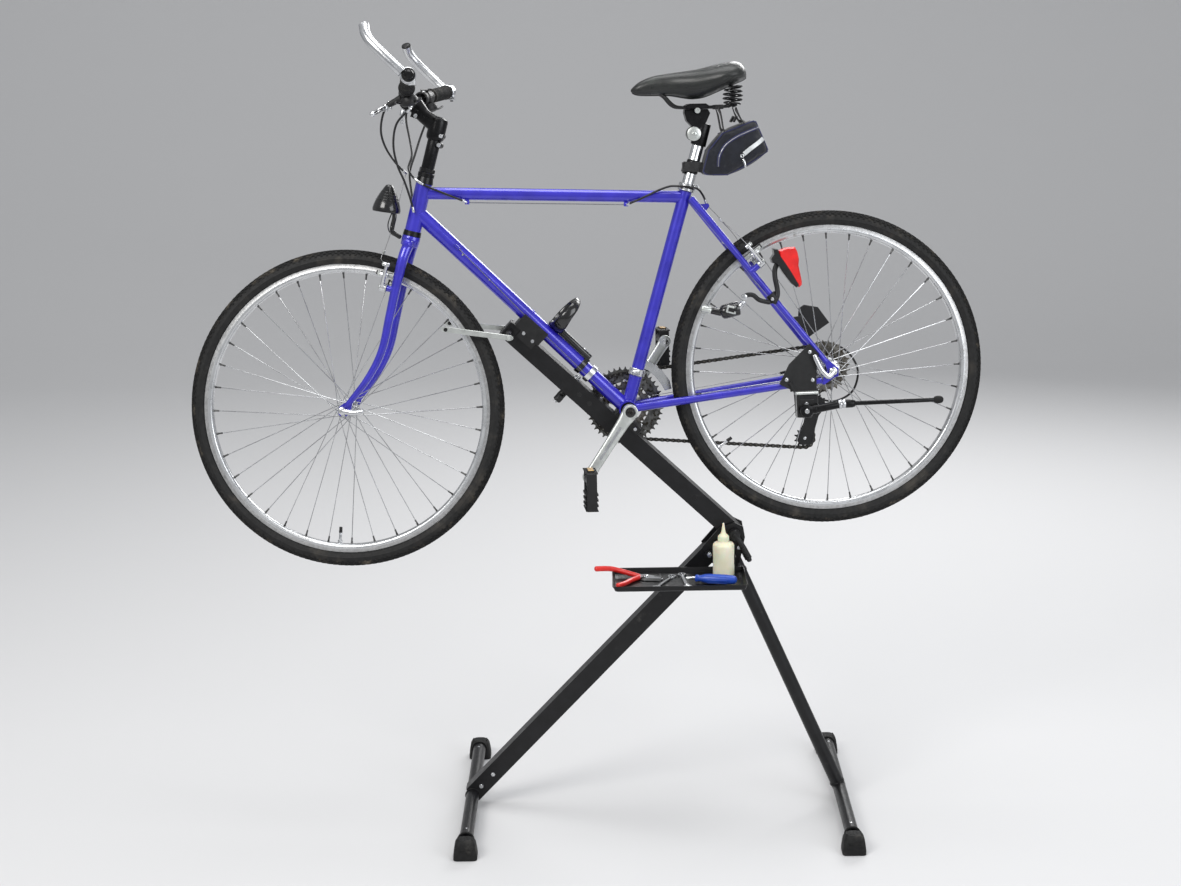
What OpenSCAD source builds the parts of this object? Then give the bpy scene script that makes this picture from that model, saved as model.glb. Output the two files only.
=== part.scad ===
// Bicycle held in a folding repair stand.
// The bicycle sits by its bottom bracket and down tube on the stand's boom,
// leaned over a little about the down tube.
// +X points to the back of the bicycle, +Y to its right-hand (chain) side, +Z up.
// The origin is on the floor at the middle of the outline.

/* [Stand] */
// Height of the boom pivot above the floor
pivot_z = 648; // [640:1:656]
// Side of the square boom tube
boom_w = 40; // [36:1:42]
// Radius of the round rear leg
leg_r = 15.5; // [12:0.5:16]
// Distance between the two feet on one crossbar
foot_gap = 607; // [520:1:640]
// Length of a foot along the floor, across the crossbar
foot_w = 52; // [44:1:60]
// Height of a foot
foot_h = 44; // [40:1:50]
// Length of the tool tray
tray_l = 296; // [240:1:310]
// Depth of the tool tray
tray_d = 148; // [130:1:150]

/* [Pose on the stand] */
// Height of the bottom bracket above the floor
bb_z = 934.6; // [930:0.2:940]
// Lean of the bicycle about its down tube
lean = 7; // [6:0.5:8]
// Angle the front wheel is turned to at rest
steer_rest = -9.5; // [-10:0.5:-9]

/* [Frame] */
// Down tube radius
dt_r = 16.5; // [15:0.25:17]
// Top tube radius
tt_r = 13.5; // [12:0.25:14.3]
// Seat tube outer radius
st_r = 14.3; // [14:0.1:15]
// Seat post radius
post_r = 13.3; // [12.7:0.1:13.3]
// Head tube outer radius
ht_r = 18; // [17:0.5:19]

/* [Wheels] */
// Tyre outer radius
tyre_r = 350; // [348:0.5:350]
// Tyre section radius
tyre_w = 19; // [17:0.5:19]
// Spokes in each wheel
spokes = 36; // [36:4:36]

/* [Drive] */
// Crank length, axle to axle
crank_l = 170; // [165:1:175]
// Teeth on the ring that the chain runs on
ring_t = 36; // [36:4:36]
// Teeth on the sprocket that the chain runs on
cog_t = 24; // [24:4:24]

/* [Hidden] */
$fn = 48;
E = 0.02;
ox = 3;
oy = -5;

// ---- places on the stand, from the floor ----
bb_x = 82;
boom_a = 43.4;                      // slope of the boom
bd = [-cos(boom_a), 0, sin(boom_a)]; // up along the boom
bn = [sin(boom_a), 0, cos(boom_a)];  // square to it, upwards
boom_piv = [318, 0, pivot_z];
boom_len = 688;
fl_piv = [262, 0, 602];             // front leg pivot
fl_foot = [-288, 0, 30];            // front crossbar centre
rl_foot = [561, 0, 30];
bar_r = 15;                          // crossbar tube radius
tray_y = -29 - tray_d / 2;
tray_z = 561;

// ---- places on the bicycle, from the bottom bracket ----
dt_a = 44.57;
dt_ax = [-cos(dt_a), 0, sin(dt_a)];
hub_r = [450, 0, 78];
hub_f = [-620, 0, 17];
st_ax = [0.2778, 0, 0.9606];        // up the seat tube
sd = [0.2622, 0, 0.965];            // up the steering axis
sf = [-0.965, 0, 0.2622];           // forwards, square to it
ht_top = [-435.2, 0, 507];
ht_bot = [-463, 0, 404.6];
dt_top = dt_ax * 635;
tt_a = [-441, 0, 485.9];
tt_b = [134.5, 0, 464.7];
ring_r = 6.35 / sin(180 / ring_t);
cog_r = 6.35 / sin(180 / cog_t);
ring_y = 47;
cog_y = 35;
ca = [-0.5596, 0, -0.8288];         // the way the left crank points

function unit(v) = v / norm(v);
function at(p, d, l) = p + d * l;
function cr(p, i, t) =
  let (a = p[max(i - 1, 0)], b = p[i], c = p[min(i + 1, len(p) - 1)], d = p[min(i + 2, len(p) - 1)])
  0.5 * ((2 * b) + (c - a) * t + (2 * a - 5 * b + 4 * c - d) * t * t + (3 * b - a - 3 * c + d) * t * t * t);
function smooth(p, n) = concat([for (i = [0:len(p) - 2]) for (k = [0:n - 1]) cr(p, i, k / n)], [p[len(p) - 1]]);
function flip(p) = [for (q = p) [q[0], -q[1], q[2]]];

module bike() translate([ox, oy, 0]) translate([bb_x, 0, bb_z]) rotate(a = lean, v = dt_ax) children();
module steered() bike() translate(ht_top) rotate(a = steer_rest, v = sd) translate(-ht_top) children();
module ground() translate([ox, oy, 0]) children();

// straight round bar or cone from p to q
module rod(p, q, r, r2 = -1) {
  d = q - p;
  l = norm(d);
  translate(p) rotate([0, acos(d[2] / l), atan2(d[1], d[0])]) cylinder(h = l, r1 = r, r2 = r2 < 0 ? r : r2);
}
module pipe(p, q, ro, ri) difference() {
  rod(p, q, ro);
  rod(p - unit(q - p), q + unit(q - p), ri);
}
// square tube along the boom, from length a to b up from the pivot
module along_boom() translate(boom_piv) rotate([0, -90 + boom_a, 0]) children();
module yrod(p, y0, y1, r) translate([p[0], y0, p[2]]) rotate([-90, 0, 0]) cylinder(h = y1 - y0, r = r);
// flat plate cut in the X-Z plane, from y0 to y1
module plate(pts, y0, y1) translate([0, y1, 0]) rotate([90, 0, 0]) linear_extrude(y1 - y0) polygon(pts);

// one closed skin along a path: ref is any direction the path never follows
module sweep(path, rad, sides = 10, ref = [0, 1, 0], flat = 1, loop = false) {
  n = len(path);
  function rr(i) = is_list(rad) ? (rad[0] + (rad[1] - rad[0]) * i / (n - 1)) : rad;
  function tan_at(i) = loop ? unit(path[(i + 1) % n] - path[(i + n - 1) % n])
    : unit(path[min(i + 1, n - 1)] - path[max(i - 1, 0)]);
  pts = [for (i = [0:n - 1]) let (t = tan_at(i), a = unit(cross(ref, t)), b = cross(t, a))
    for (j = [0:sides - 1]) path[i] + rr(i) * (a * cos(360 * (j + 0.5) / sides) + b * flat * sin(360 * (j + 0.5) / sides))];
  m = loop ? n : n - 1;
  sidef = [for (i = [0:m - 1]) for (j = [0:sides - 1]) for (h = [0, 1])
    let (p = i * sides, q = ((i + 1) % n) * sides, k = (j + 1) % sides)
    h == 0 ? [p + j, q + j, q + k] : [p + j, q + k, p + k]];
  caps = loop ? [] : [[for (j = [0:sides - 1]) j], [for (j = [sides - 1:-1:0]) (n - 1) * sides + j]];
  polyhedron(points = pts, faces = concat(sidef, caps), convexity = 6);
}

// ================= stand =================
module stand_head() color([0.06, 0.06, 0.07]) ground() {
 // front leg pivot bolt
 yrod(fl_piv, -26, 26, 6);
 yrod(fl_piv, -32, -26 - E, 10);
 yrod(fl_piv, 26 + E, 33, 9.5);
 difference() {
  union() {
    for (s = [-1, 1]) plate([[246, 618], [262, 582], [300, 572], [330, 580], [342, 640], [338, 664], [318, 674], [286, 664]],
      s > 0 ? 21 : -26, s > 0 ? 26 : -21);
    // block between the plates, above the rear leg
    plate([[296, 622], [322, 624], [330, 590], [308, 582]], -21 - E, 21 + E);
  }
  yrod(boom_piv, -40, 40, 6.05);
  yrod(fl_piv, -40, 40, 6.05);
  rod(rl_foot, rl_top, leg_r + E);
 }
}
rl_top = [309, 0, 606];
rl_dir = unit(rl_top - rl_foot);
module rear_leg() color([0.07, 0.07, 0.08]) ground() difference() {
  union() {
    rod(rl_foot, rl_top, leg_r);
    yrod(rl_foot, -foot_gap / 2 + 24, foot_gap / 2 - 24, bar_r);
  }
  rod(rl_foot + rl_dir * 30, rl_top + rl_dir, leg_r - 2);
  for (s = [-1, 1]) yrod(rl_foot, s > 0 ? 20 : -foot_gap / 2, s > 0 ? foot_gap / 2 : -20, bar_r - 2);
}
fl_dir = unit(fl_piv - fl_foot);
fl_n = [-fl_dir[2], 0, fl_dir[0]];
module front_leg() color([0.07, 0.07, 0.08]) ground() difference() {
  union() {
    translate(fl_foot) rotate([0, acos(fl_dir[2]), 0]) translate([-20, -20, 0]) cube([40, 40, norm(fl_piv - fl_foot)]);
    yrod(fl_piv, -19.6, 19.6, 19.4);
    yrod(fl_foot, -foot_gap / 2 + 24, foot_gap / 2 - 24, bar_r);
  }
  translate(fl_foot) rotate([0, acos(fl_dir[2]), 0]) translate([-18, -18, 30]) cube([36, 36, norm(fl_piv - fl_foot) - 60]);
  yrod(fl_piv, -30, 30, 6.05);
  for (s = [-1, 1]) yrod(fl_foot, s > 0 ? 21 : -foot_gap / 2, s > 0 ? foot_gap / 2 : -21, bar_r - 2);
}
module foot(c, s) translate([c[0], s * foot_gap / 2, 0]) difference() {
  hull() {
    translate([-foot_w / 2, -24, 0]) cube([foot_w, 48, 8]);
    translate([-foot_w / 2 + 3, -22, foot_h - 10]) cube([foot_w - 6, 44, 8]);
    translate([-foot_w / 2 + 8, -18, foot_h - 1]) cube([foot_w - 16, 36, 3]);
  }
  translate([0, -s * 60, c[2]]) rotate([s > 0 ? -90 : 90, 0, 0]) cylinder(h = 60, r = bar_r + E);
}
module rear_feet() color([0.05, 0.05, 0.05]) ground() for (s = [-1, 1]) foot(rl_foot, s);
module front_feet() color([0.05, 0.05, 0.05]) ground() for (s = [-1, 1]) foot(fl_foot, s);

module boom_tube() color([0.06, 0.06, 0.07]) ground() difference() {
  union() {
    along_boom() translate([-boom_w / 2, -boom_w / 2, 0]) cube([boom_w, boom_w, boom_len]);
    yrod(boom_piv, -boom_w / 2 + 0.4, boom_w / 2 - 0.4, boom_w / 2 - 0.5);
  }
  along_boom() translate([-boom_w / 2 + 2, -boom_w / 2 + 2, 30]) cube([boom_w - 4, boom_w - 4, boom_len - 42]);
  yrod(boom_piv, -40, 40, 6.05);
  rod(hook_p - bn * 100, hook_p, 4.3);
  yrod(wr_piv, -40, 40, 4.1);
}
// the boom's pivot is 0; the hook and restraint lie this far up it
wr_piv = boom_piv + bd * 677;
hook_s = 497;
hook_p = boom_piv + bd * hook_s + bn * 49;
// groove that the down tube lies in, and the seat for the bottom bracket
module boom_cradles() color([0.05, 0.05, 0.06]) {
  difference() {
    ground() along_boom() {
      translate([20, -25, 612]) cube([34, 50, 68]);
      for (s = [-1, 1]) translate([4, s > 0 ? 20 : -24, 618]) cube([30, 4, 44]);
    }
    bike() rod([0, 0, 0], dt_ax * 600, dt_r + E);
  }
  difference() {
    ground() along_boom() translate([20, -32, 316]) cube([16, 64, 66]);
    bike() yrod([0, 0, 0], -60, 60, 20 + E);
    bike() rod([0, 0, 0], dt_ax * 600, dt_r + 0.5);
  }
}
module clamp_hook() color([0.62, 0.63, 0.65]) {
  bike() difference() {
    rod(dt_ax * 109, dt_ax * 121, dt_r + 4);
    rod(dt_ax * 100, dt_ax * 130, dt_r + E);
  }
  ground() rod(hook_p - bn * 100, hook_p - bn * (dt_r + 3), 4);
}
module wing_handle() color([0.05, 0.05, 0.05]) ground() difference() {
  union() {
    rod(hook_p - bn * 96, hook_p - bn * 70, 9);
    translate(hook_p - bn * 84) rotate([0, boom_a, 0]) translate([-7, -34, -6]) cube([14, 68, 14]);
  }
  rod(hook_p - bn * 120, hook_p, 4.05);
}
module tilt_handle() color([0.05, 0.05, 0.05]) ground() {
  yrod(boom_piv, -33, 33, 6);
  yrod(boom_piv, -42, -26.2, 12);
  yrod(boom_piv, 26.2, 32, 11);
  sweep(smooth([boom_piv + [0, -36, 0], boom_piv + [9, -37, -12], boom_piv + [22, -38, -34], boom_piv + [33, -38, -58]], 3), [7, 6], 8, [0, 1, 0]);
}
// two flat arms that straddle the front tyre
module wheel_restraint() color([0.7, 0.71, 0.73]) ground() union() {
  yrod(wr_piv, -88, 31, 4);
  yrod(wr_piv, -83.5, -20.3, 8);
  translate(wr_piv) rotate([0, -8.5, 180]) translate([-10, 82, -6]) cube([160, 3, 12]);
  translate(wr_piv + [0, 26, 0]) rotate([0, -8.5, 191.6]) translate([-10, -1.5, -6]) cube([160, 3, 12]);
}

tray_x0 = 339 - tray_l;
module tool_tray() color([0.07, 0.08, 0.08]) ground() {
  difference() {
    translate([0, tray_y + tray_d / 2, 0]) rotate([90, 0, 0]) linear_extrude(tray_d)
      polygon([[tray_x0, tray_z + 12], [tray_x0 + 5, tray_z], [336, tray_z], [339, tray_z + 12]]);
    translate([0, tray_y + tray_d / 2 - 2, 0]) rotate([90, 0, 0]) linear_extrude(tray_d - 4)
      polygon([[tray_x0 + 1.5, tray_z + 14], [tray_x0 + 7, tray_z + 2], [334, tray_z + 2], [337.5, tray_z + 14]]);
  }
  // tab bolted to the head
  translate([276, tray_y + tray_d / 2 - 1, tray_z + 2]) cube([44, 4, 38]);
}
module squeeze_bottle() color([0.88, 0.87, 0.74]) ground() translate([292, -60, tray_z + 2.1]) {
  rotate_extrude() polygon([[0, 0], [22, 0], [24, 3], [24, 70], [22, 75], [11, 77], [11, 92], [8, 94], [6, 96], [2, 119], [0, 120]]);
}
module hand_tools() ground() {
  z = tray_z + 2.1;
  // pliers: two handles and jaws
  color([0.8, 0.05, 0.05]) {
    sweep(smooth([[8, -60, z + 18], [40, -60, z + 17.5], [70, -68, z + 12], [102, -84, z + 6.5]], 3), [6, 5.5], 8, [0, 1, 0]);
    sweep(smooth([[56, -158, z + 8], [70, -140, z + 7], [86, -112, z + 6.5], [104, -92, z + 6.5]], 3), [6, 5.5], 8, [0, 0, 1]);
  }
  color([0.7, 0.7, 0.7]) translate([98, -86, z + 1]) rotate([0, 0, -20]) linear_extrude(9) polygon([[2, -9], [2, 8], [18, 12], [54, 4], [56, -2], [54, -8], [18, -12]]);
  // wrenches
  color([0.75, 0.76, 0.78]) {
    translate([140, -160, z]) rotate([0, 0, 66]) wrench(88);
    translate([208, -158, z]) rotate([0, 0, 96]) wrench(92);
  }
  color([0.05, 0.15, 0.6]) {
    rod([226, -122, z + 11.5], [318, -142, z + 11.5], 10.5);
  }
  color([0.7, 0.7, 0.7]) rod([226, -122, z + 11.5], [206, -117.7, z + 11.5], 3);
}
module wrench(l) difference() {
  union() {
    translate([0, -4, 0]) cube([l, 8, 5]);
    cylinder(h = 6, r = 9);
    translate([l, 0, 0]) cylinder(h = 6, r = 10);
  }
  translate([0, 0, -1]) cylinder(h = 8, r = 5);
  translate([l - 1, -4.5, -1]) cube([14, 9, 8]);
}

// ================= frame =================
module bb_out() yrod([0, 0, 0], -34, 34, 20);
module down_tube() color([0.13, 0.11, 0.66]) bike() difference() {
  union() {
    rod(ht_bot, ht_top, ht_r);
    rod([0, 0, 0], dt_top, dt_r);
  }
  rod(ht_bot - sd * 5, ht_top + sd * 5, 16.5);
  rod([0, 0, 0], at(dt_top, dt_ax, -30), dt_r - 1.2);
  bb_cut();
}
module bb_cut() yrod([0, 0, 0], -35, 35, 20 + E);
module top_tube() color([0.13, 0.11, 0.66]) bike() difference() {
  rod(tt_a, tt_b, tt_r);
  rod(tt_a + [-1, 0, 0], tt_b + [1, 0, 0], tt_r - 1);
  rod(ht_bot - sd * 40, ht_top + sd * 40, ht_r + E);
  rod([0, 0, 0], st_ax * 620, st_r + E);
}
module seat_tube() color([0.13, 0.11, 0.66]) bike() difference() {
  union() {
    difference() {
      rod([0, 0, 0], st_ax * 512, st_r);
      rod([0, 0, 0], dt_ax * 200, dt_r + E);
    }
    yrod([0, 0, 0], -34, 34, 20);
  }
  rod(st_ax * 24, st_ax * 520, post_r + 0.05);
  yrod([0, 0, 0], -40, 40, 17.5);
}
// the same point on the other side
function flip_y(p, s) = [p[0], s * p[1], p[2]];
function ss_a(s) = [147, s * 18, 462];
function ss_b(s) = [436, s * 69, 98];
module seat_stays() color([0.13, 0.11, 0.66]) bike() {
  for (s = [-1, 1]) {
    difference() {
      union() {
        rod(ss_a(s), ss_b(s), 8, 6.5);
        rod(flip_y(rb_pv, s) - rb * 26, flip_y(rb_pv, s) - rb * 3.4, 7);
      }
      rod([0, 0, 0], st_ax * 620, st_r + E);
    }
    rod(flip_y(rb_pv, s) - rb * 5, flip_y(rb_pv, s) + rb * 12, 4);
  }
  difference() {
    // bridge above the brake
    rod([225, -30, 364], [225, 30, 364], 6);
    for (s = [-1, 1]) rod(ss_a(s), ss_b(s), 8 + E, 6.5 + E);
  }
}
function cs_a(s) = [12, s * 23, 3];
function cs_b(s) = [426, s * 69, 57];
module chain_stays() color([0.13, 0.11, 0.66]) bike() for (s = [-1, 1]) difference() {
  union() {
    rod(cs_a(s), cs_b(s), 9.5, 7);
    // dropout plate
    plate([[424, 50], [432, 48], [452, 62], [463, 66], [463, 84], [452, 92], [440, 104], [432, 100], [438, 80]],
      s > 0 ? 64.5 : -70.5, s > 0 ? 70.5 : -64.5);
    if (s > 0) plate([[444, 66], [458, 66], [462, 50], [456, 44], [446, 48]], 64.5, 70.5);
  }
  bb_cut();
  rod([0, 0, 0], st_ax * 620, st_r + E);
  yrod(hub_r, -90, 90, 5 + E);
  rod(ss_a(s), ss_b(s), 8 + E, 6.5 + E);
}
module frame_fittings() color([0.12, 0.12, 0.13]) bike() {
  // headset cups
  difference() {
    union() {
      rod(ht_top + sd * 0.05, ht_top + sd * 14, 19.5, 17);
      rod(ht_bot - sd * 11, ht_bot - sd * 0.05, 20, 19);
    }
    rod(ht_bot - sd * 40, ht_top + sd * 40, 14.36);
  }
  // seat collar
  difference() {
    union() {
      rod(st_ax * 497, st_ax * 513, st_r + 4);
      translate(st_ax * 505 + [st_r + 6, 0, 0]) rotate([90, 0, 0]) cylinder(h = 22, r = 5, center = true);
    }
    rod(st_ax * 480, st_ax * 530, st_r + E);
  }
  // bottom bracket cups
  for (s = [-1, 1]) difference() {
    yrod([0, 0, 0], s > 0 ? 20 : -36, s > 0 ? 36 : -20, 17.45);
    yrod([0, 0, 0], -60, 60, 8.56);
  }
}
dn = [sin(dt_a), 0, cos(dt_a)]; // square to the down tube, upwards
function dtp(l, h, y = 0) = dt_ax * l + dn * h + [0, y, 0];
module bottle_cage() color([0.04, 0.04, 0.05]) bike() {
  // base strip on the tube
  difference() {
    union() {
      hull() {
        rod(dtp(150, 21), dtp(151, 21), 8);
        rod(dtp(290, 21), dtp(291, 21), 8);
      }
      translate(dtp(135, 0)) rotate([0, -90 + dt_a, 0]) translate([0, 0, 0]) cylinder(h = 12, r = dt_r + 3);
    }
    rod(dt_ax * 100, dt_ax * 330, dt_r + E);
  }
  // broad band round the bottle, and the rail it grows from
  for (s = [-1, 1])
    sweep(smooth([dtp(247, 24, s * 6), dtp(247, 26, s * 20), dtp(247, 40, s * 35), dtp(246, 58, s * 40), dtp(245, 84, s * 32), dtp(245, 98, s * 10)], 3), [5, 3.4], 8, dt_ax, 3);
  hull() {
    translate(dtp(142, 26)) rotate([0, -90 + dt_a, 0]) cylinder(h = 1, r = 6.5);
    translate(dtp(236, 26)) rotate([0, -90 + dt_a, 0]) cylinder(h = 1, r = 7.5);
  }
}

// ---- brackets on the left stays ----
module stay_brackets() color([0.05, 0.05, 0.05]) bike() difference() {
 union() {
  // kickstand bracket
  difference() {
    union() {
      plate([[330, 52], [352, 96], [398, 140], [418, 118], [412, 74], [414, 4], [396, -22], [366, -20], [362, 36]], -78, -73);
      plate([[366, -20], [396, -22], [412, 4], [412, 30], [364, 30]], -100, -78 - E);
      plate([[356, 34], [414, 46], [414, 70], [352, 60]], -73 - E, -64);
      plate([[392, 120], [404, 132], [418, 118], [406, 104]], -73 - E, -66);
    }
    rod(ss_a(-1), ss_b(-1), 8 + E, 6.5 + E);
    yrod([384, 0, -4], -120, -90, 7.1);
    rod(cs_a(-1), cs_b(-1), 9.5 + E, 7 + E);
  }
  // clamp with the arms of the dynamo and the tail light
  difference() {
    rod(ss_a(-1) + (ss_b(-1) - ss_a(-1)) * 0.585, ss_a(-1) + (ss_b(-1) - ss_a(-1)) * 0.625, 12);
    rod(ss_a(-1), ss_b(-1), 8 + E, 6.5 + E);
  }
  sweep(smooth([[326, -54, 240], [331, -52, 256], [327, -50, 280], [332, -48, 310]], 3), 6, 8);
  sweep(smooth([[312, -58, 232], [290, -62, 238], [266, -64, 248], [256, -64, 246]], 3), 5, 8);
  // tail light
  color([0.8, 0.05, 0.05]) hull() {
    translate([333, -48, 338]) sphere(10, $fn = 20);
    translate([366, -48, 341]) sphere(9, $fn = 20);
    translate([369, -48, 306]) sphere(9, $fn = 20);
    translate([377, -48, 271]) sphere(7.5, $fn = 20);
    translate([330, -48, 322]) sphere(9, $fn = 20);
  }
  // guard plate on the right stay
  plate([[400, 206], [412, 214], [444, 208], [470, 172], [424, 141], [398, 172]], 72, 76);
  difference() {
    plate([[372, 186], [410, 190], [410, 164], [384, 168]], 60, 72 + E);
    rod(ss_a(1), ss_b(1), 8 + E, 6.5 + E);
  }
 }
 rod(ss_a(-1), ss_b(-1), 8 + E, 6.5 + E);
}
ks_piv = [384, -96, -4];
module kickstand_leg() color([0.06, 0.06, 0.06]) bike() {
  yrod(ks_piv, -112, -90.2, 7);
  yrod(ks_piv, -119, -100.4, 14);
  rod([388, -110, -3], [456, -110, 8], 9);
  rod([455, -110, 8], [470, -110, 9], 10);
  rod([468, -110, 9], [670, -110, 12], 5);
  rod([668, -110, 12], [688, -110, 12.2], 8);
}
dy_piv = [246, -64, 226];
module dynamo() color([0.05, 0.05, 0.05]) bike() {
  rod([256, -64, 238], [244, -64, 222], 6);
  rod([246, -62, 222], [206, -58, 212], 16);
  rod([206, -58, 212], [184, -56, 217], 8);
  rod([184, -56, 217], [162, -54, 222], 8.5);
}
module rear_axle() color([0.75, 0.76, 0.78]) bike() {
  yrod(hub_r, -64.4, 64.4, 5);
  yrod(hub_r, -76, 76, 4.9);
  yrod(hub_r, -84, -70.6, 9);
  yrod(hub_r, 70.6, 80, 9);
  sweep(smooth([[450, -82, 78], [438, -87, 68], [424, -88, 80], [414, -88, 98], [407, -88, 114]], 3), [6, 5], 8, [0, 1, 0], 0.6);
}

// ---- drive ----
// tangent from circle a to circle b; a negative radius runs the other way round
function tang(a, b) = let (d = [b[0] - a[0], b[1] - a[1]], l = norm(d), f = atan2(d[1], d[0])) f - acos((a[2] - b[2]) / l);
function arc_pts(c, b0, b1, n) =
  let (s = c[2] > 0 ? 1 : -1, d0 = (b1 - b0) * s, d = (d0 % 360 + 360) % 360)
  [for (k = [0:n]) let (b = b0 + s * d * k / n) [c[0] + c[2] * cos(b), c[3], c[1] + c[2] * sin(b)]];
pul_lo = [404, -84];
pul_up = [432, -8];
loop_c = [[0, 0, ring_r, ring_y], [pul_lo[0], pul_lo[1], 22.2, cog_y], [pul_up[0], pul_up[1], -22.2, cog_y], [hub_r[0], hub_r[2], cog_r, cog_y]];
chain_path = concat(
  arc_pts(loop_c[0], tang(loop_c[3], loop_c[0]), tang(loop_c[0], loop_c[1]), 12),
  arc_pts(loop_c[1], tang(loop_c[0], loop_c[1]), tang(loop_c[1], loop_c[2]), 6),
  arc_pts(loop_c[2], tang(loop_c[1], loop_c[2]), tang(loop_c[2], loop_c[3]), 6),
  arc_pts(loop_c[3], tang(loop_c[2], loop_c[3]), tang(loop_c[3], loop_c[0]), 10));
module chain() color([0.12, 0.11, 0.1]) bike() sweep(chain_path, 4.6, 4, [0, 1, 0], 1, true);
module ring(r, y, t = 2) difference() {
  yrod([0, 0, 0], y - t / 2, y + t / 2, r);
  yrod([0, 0, 0], y - 5, y + 5, r * 0.72);
}
module chainrings() color([0.35, 0.34, 0.32]) bike() {
  ring(52, 40);
  difference() {
    union() {
      yrod([0, 0, 0], 46, 48, ring_r - 4.7);
      yrod([0, 0, 0], 53, 55, 86);
    }
    yrod([0, 0, 0], 30, 60, 46);
  }
  for (k = [0:4]) rotate([0, -90 - k * 72, 0]) {
    translate([52, 56, 0]) rotate([90, 0, 0]) cylinder(h = 17, r = 5);
  }
}
module crank_arms() color([0.72, 0.73, 0.73]) bike() {
  yrod([0, 0, 0], -66, 66, 8.5);
  difference() {
    hull() {
      yrod([0, 0, 0], -78, -62, 17);
      yrod(ca * crank_l, -80, -67, 13);
    }
    yrod(ca * crank_l, -100, -50, 7.05);
    yrod([0, 0, 0], -66 - E, -50, 8.5 + E);
  }
  difference() {
    union() {
      hull() {
        yrod([0, 0, 0], 60, 76, 17);
        yrod(-ca * crank_l, 65, 78, 13);
      }
      for (k = [0:4]) rotate([0, -90 - k * 72, 0]) translate([0, 57, -7]) cube([60, 5, 14]);
      yrod([0, 0, 0], 44, 62, 18);
    }
    yrod(-ca * crank_l, 50, 100, 7.05);
    yrod([0, 0, 0], 40, 66 + E, 8.5 + E);
  }
}
module pedal(s) {
  c = -s * ca * crank_l;
  yrod(c, s > 0 ? 60 : -172, s > 0 ? 172 : -60, 7);
  difference() {
    translate([c[0], s * 130, c[2] - 18]) cube([30, 88, 90], center = true);
    translate([c[0], s * 130, c[2] - 42]) cube([40, 68, 26], center = true);
    translate([c[0], s * 130, c[2] + 14]) cube([40, 68, 14], center = true);
  }
}
module pedal_left() color([0.05, 0.05, 0.05]) bike() pedal(-1);
module pedal_right() color([0.05, 0.05, 0.05]) bike() pedal(1);
module cassette() color([0.45, 0.43, 0.38]) bike() difference() {
  union() {
    yrod(hub_r, 24.5, 61.5, 17);
    for (k = [0:6]) let (n = [28, 24, 21, 19, 17, 15, 13][k], r = 6.35 / sin(180 / n))
      yrod(hub_r, 29 + k * 5, 31 + k * 5, r - (k == 1 ? 4.7 : 0));
  }
  yrod(hub_r, 0, 90, 5.05);
}
module derailleurs() color([0.07, 0.07, 0.07]) bike() {
  // rear: hanger bolt, body, cage plates, two pulleys
  plate([[450, 60], [460, 46], [446, 24], [436, -2], [424, -2], [430, 40]], 72.5, 84);
  yrod([453, 0, 54], 70.6, 86, 8);
  plate([[440, 8], [446, -16], [430, -34], [420, -70], [416, -98], [392, -98], [390, -70], [412, -20], [418, 6]], 40.5, 43);
  plate([[440, 8], [446, -16], [430, -34], [420, -70], [416, -98], [392, -98], [390, -70], [412, -20], [418, 6]], 27, 29.5);
  yrod([pul_up[0], 0, pul_up[1]], 43 - E, 72.6, 9);
  for (p = [pul_up, pul_lo]) {
    yrod([p[0], 0, p[1]], 29.5 - E, 40.5 + E, 4);
    difference() {
      yrod([p[0], 0, p[1]], 33.5, 36.5, 17.5);
      yrod([p[0], 0, p[1]], 30, 40, 4 + E);
    }
  }
  // front: clamp band, link and cage plates
  difference() {
    union() {
      rod(st_ax * 76, st_ax * 92, st_r + 3.5);
      translate([22, 16, 76]) cube([22, 30, 16]);
    }
    rod([0, 0, 0], st_ax * 200, st_r + E);
  }
  plate([[30, 87], [52, 79], [68, 65], [84, 44], [90, 32], [105, 36], [101, 54], [84, 78], [60, 96], [34, 106]], 40.8, 42);
  plate([[30, 87], [52, 79], [68, 65], [84, 44], [90, 32], [105, 36], [101, 54], [84, 78], [60, 96], [34, 106]], 51.2, 52.4);
  plate([[26, 82], [44, 90], [48, 99], [32, 103]], 36, 40.9);
  plate([[24, 92], [40, 92], [40, 78], [24, 78]], 36, 40);
  translate([44, 41, 93]) cube([12, 11, 5]);
}

// ---- cables on the frame ----
module frame_cables() color([0.05, 0.05, 0.05]) bike() {
  // along the top tube to the rear brake
  sweep(smooth([[-446, -22.4, 510.4], [-423, -21.5, 498], [-378, -19.5, 479], [-345, -11, 465]], 3), 2.4, 8);
  sweep(smooth([[-344, -7, 463.6], [-200, -6, 458.2], [4, -6, 451]], 3), 1.2, 8);
  sweep(smooth([[6, -8, 451], [18, -16, 456], [40, -19.5, 465], [77, -13, 481], [102, -15, 489], [121, -22, 489], [142, -26, 487], [162, -21, 482], [175, -7, 468], [184, 0, 449]], 3), 2.4, 8);
  // gear cable loop behind the sprockets
  sweep(smooth([[428, 78, 122], [466, 80, 126], [510, 80, 106], [536, 80, 62], [524, 79, 14], [484, 78, -8], [448, 78, -2]], 3), 2.5, 8);
}

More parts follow.
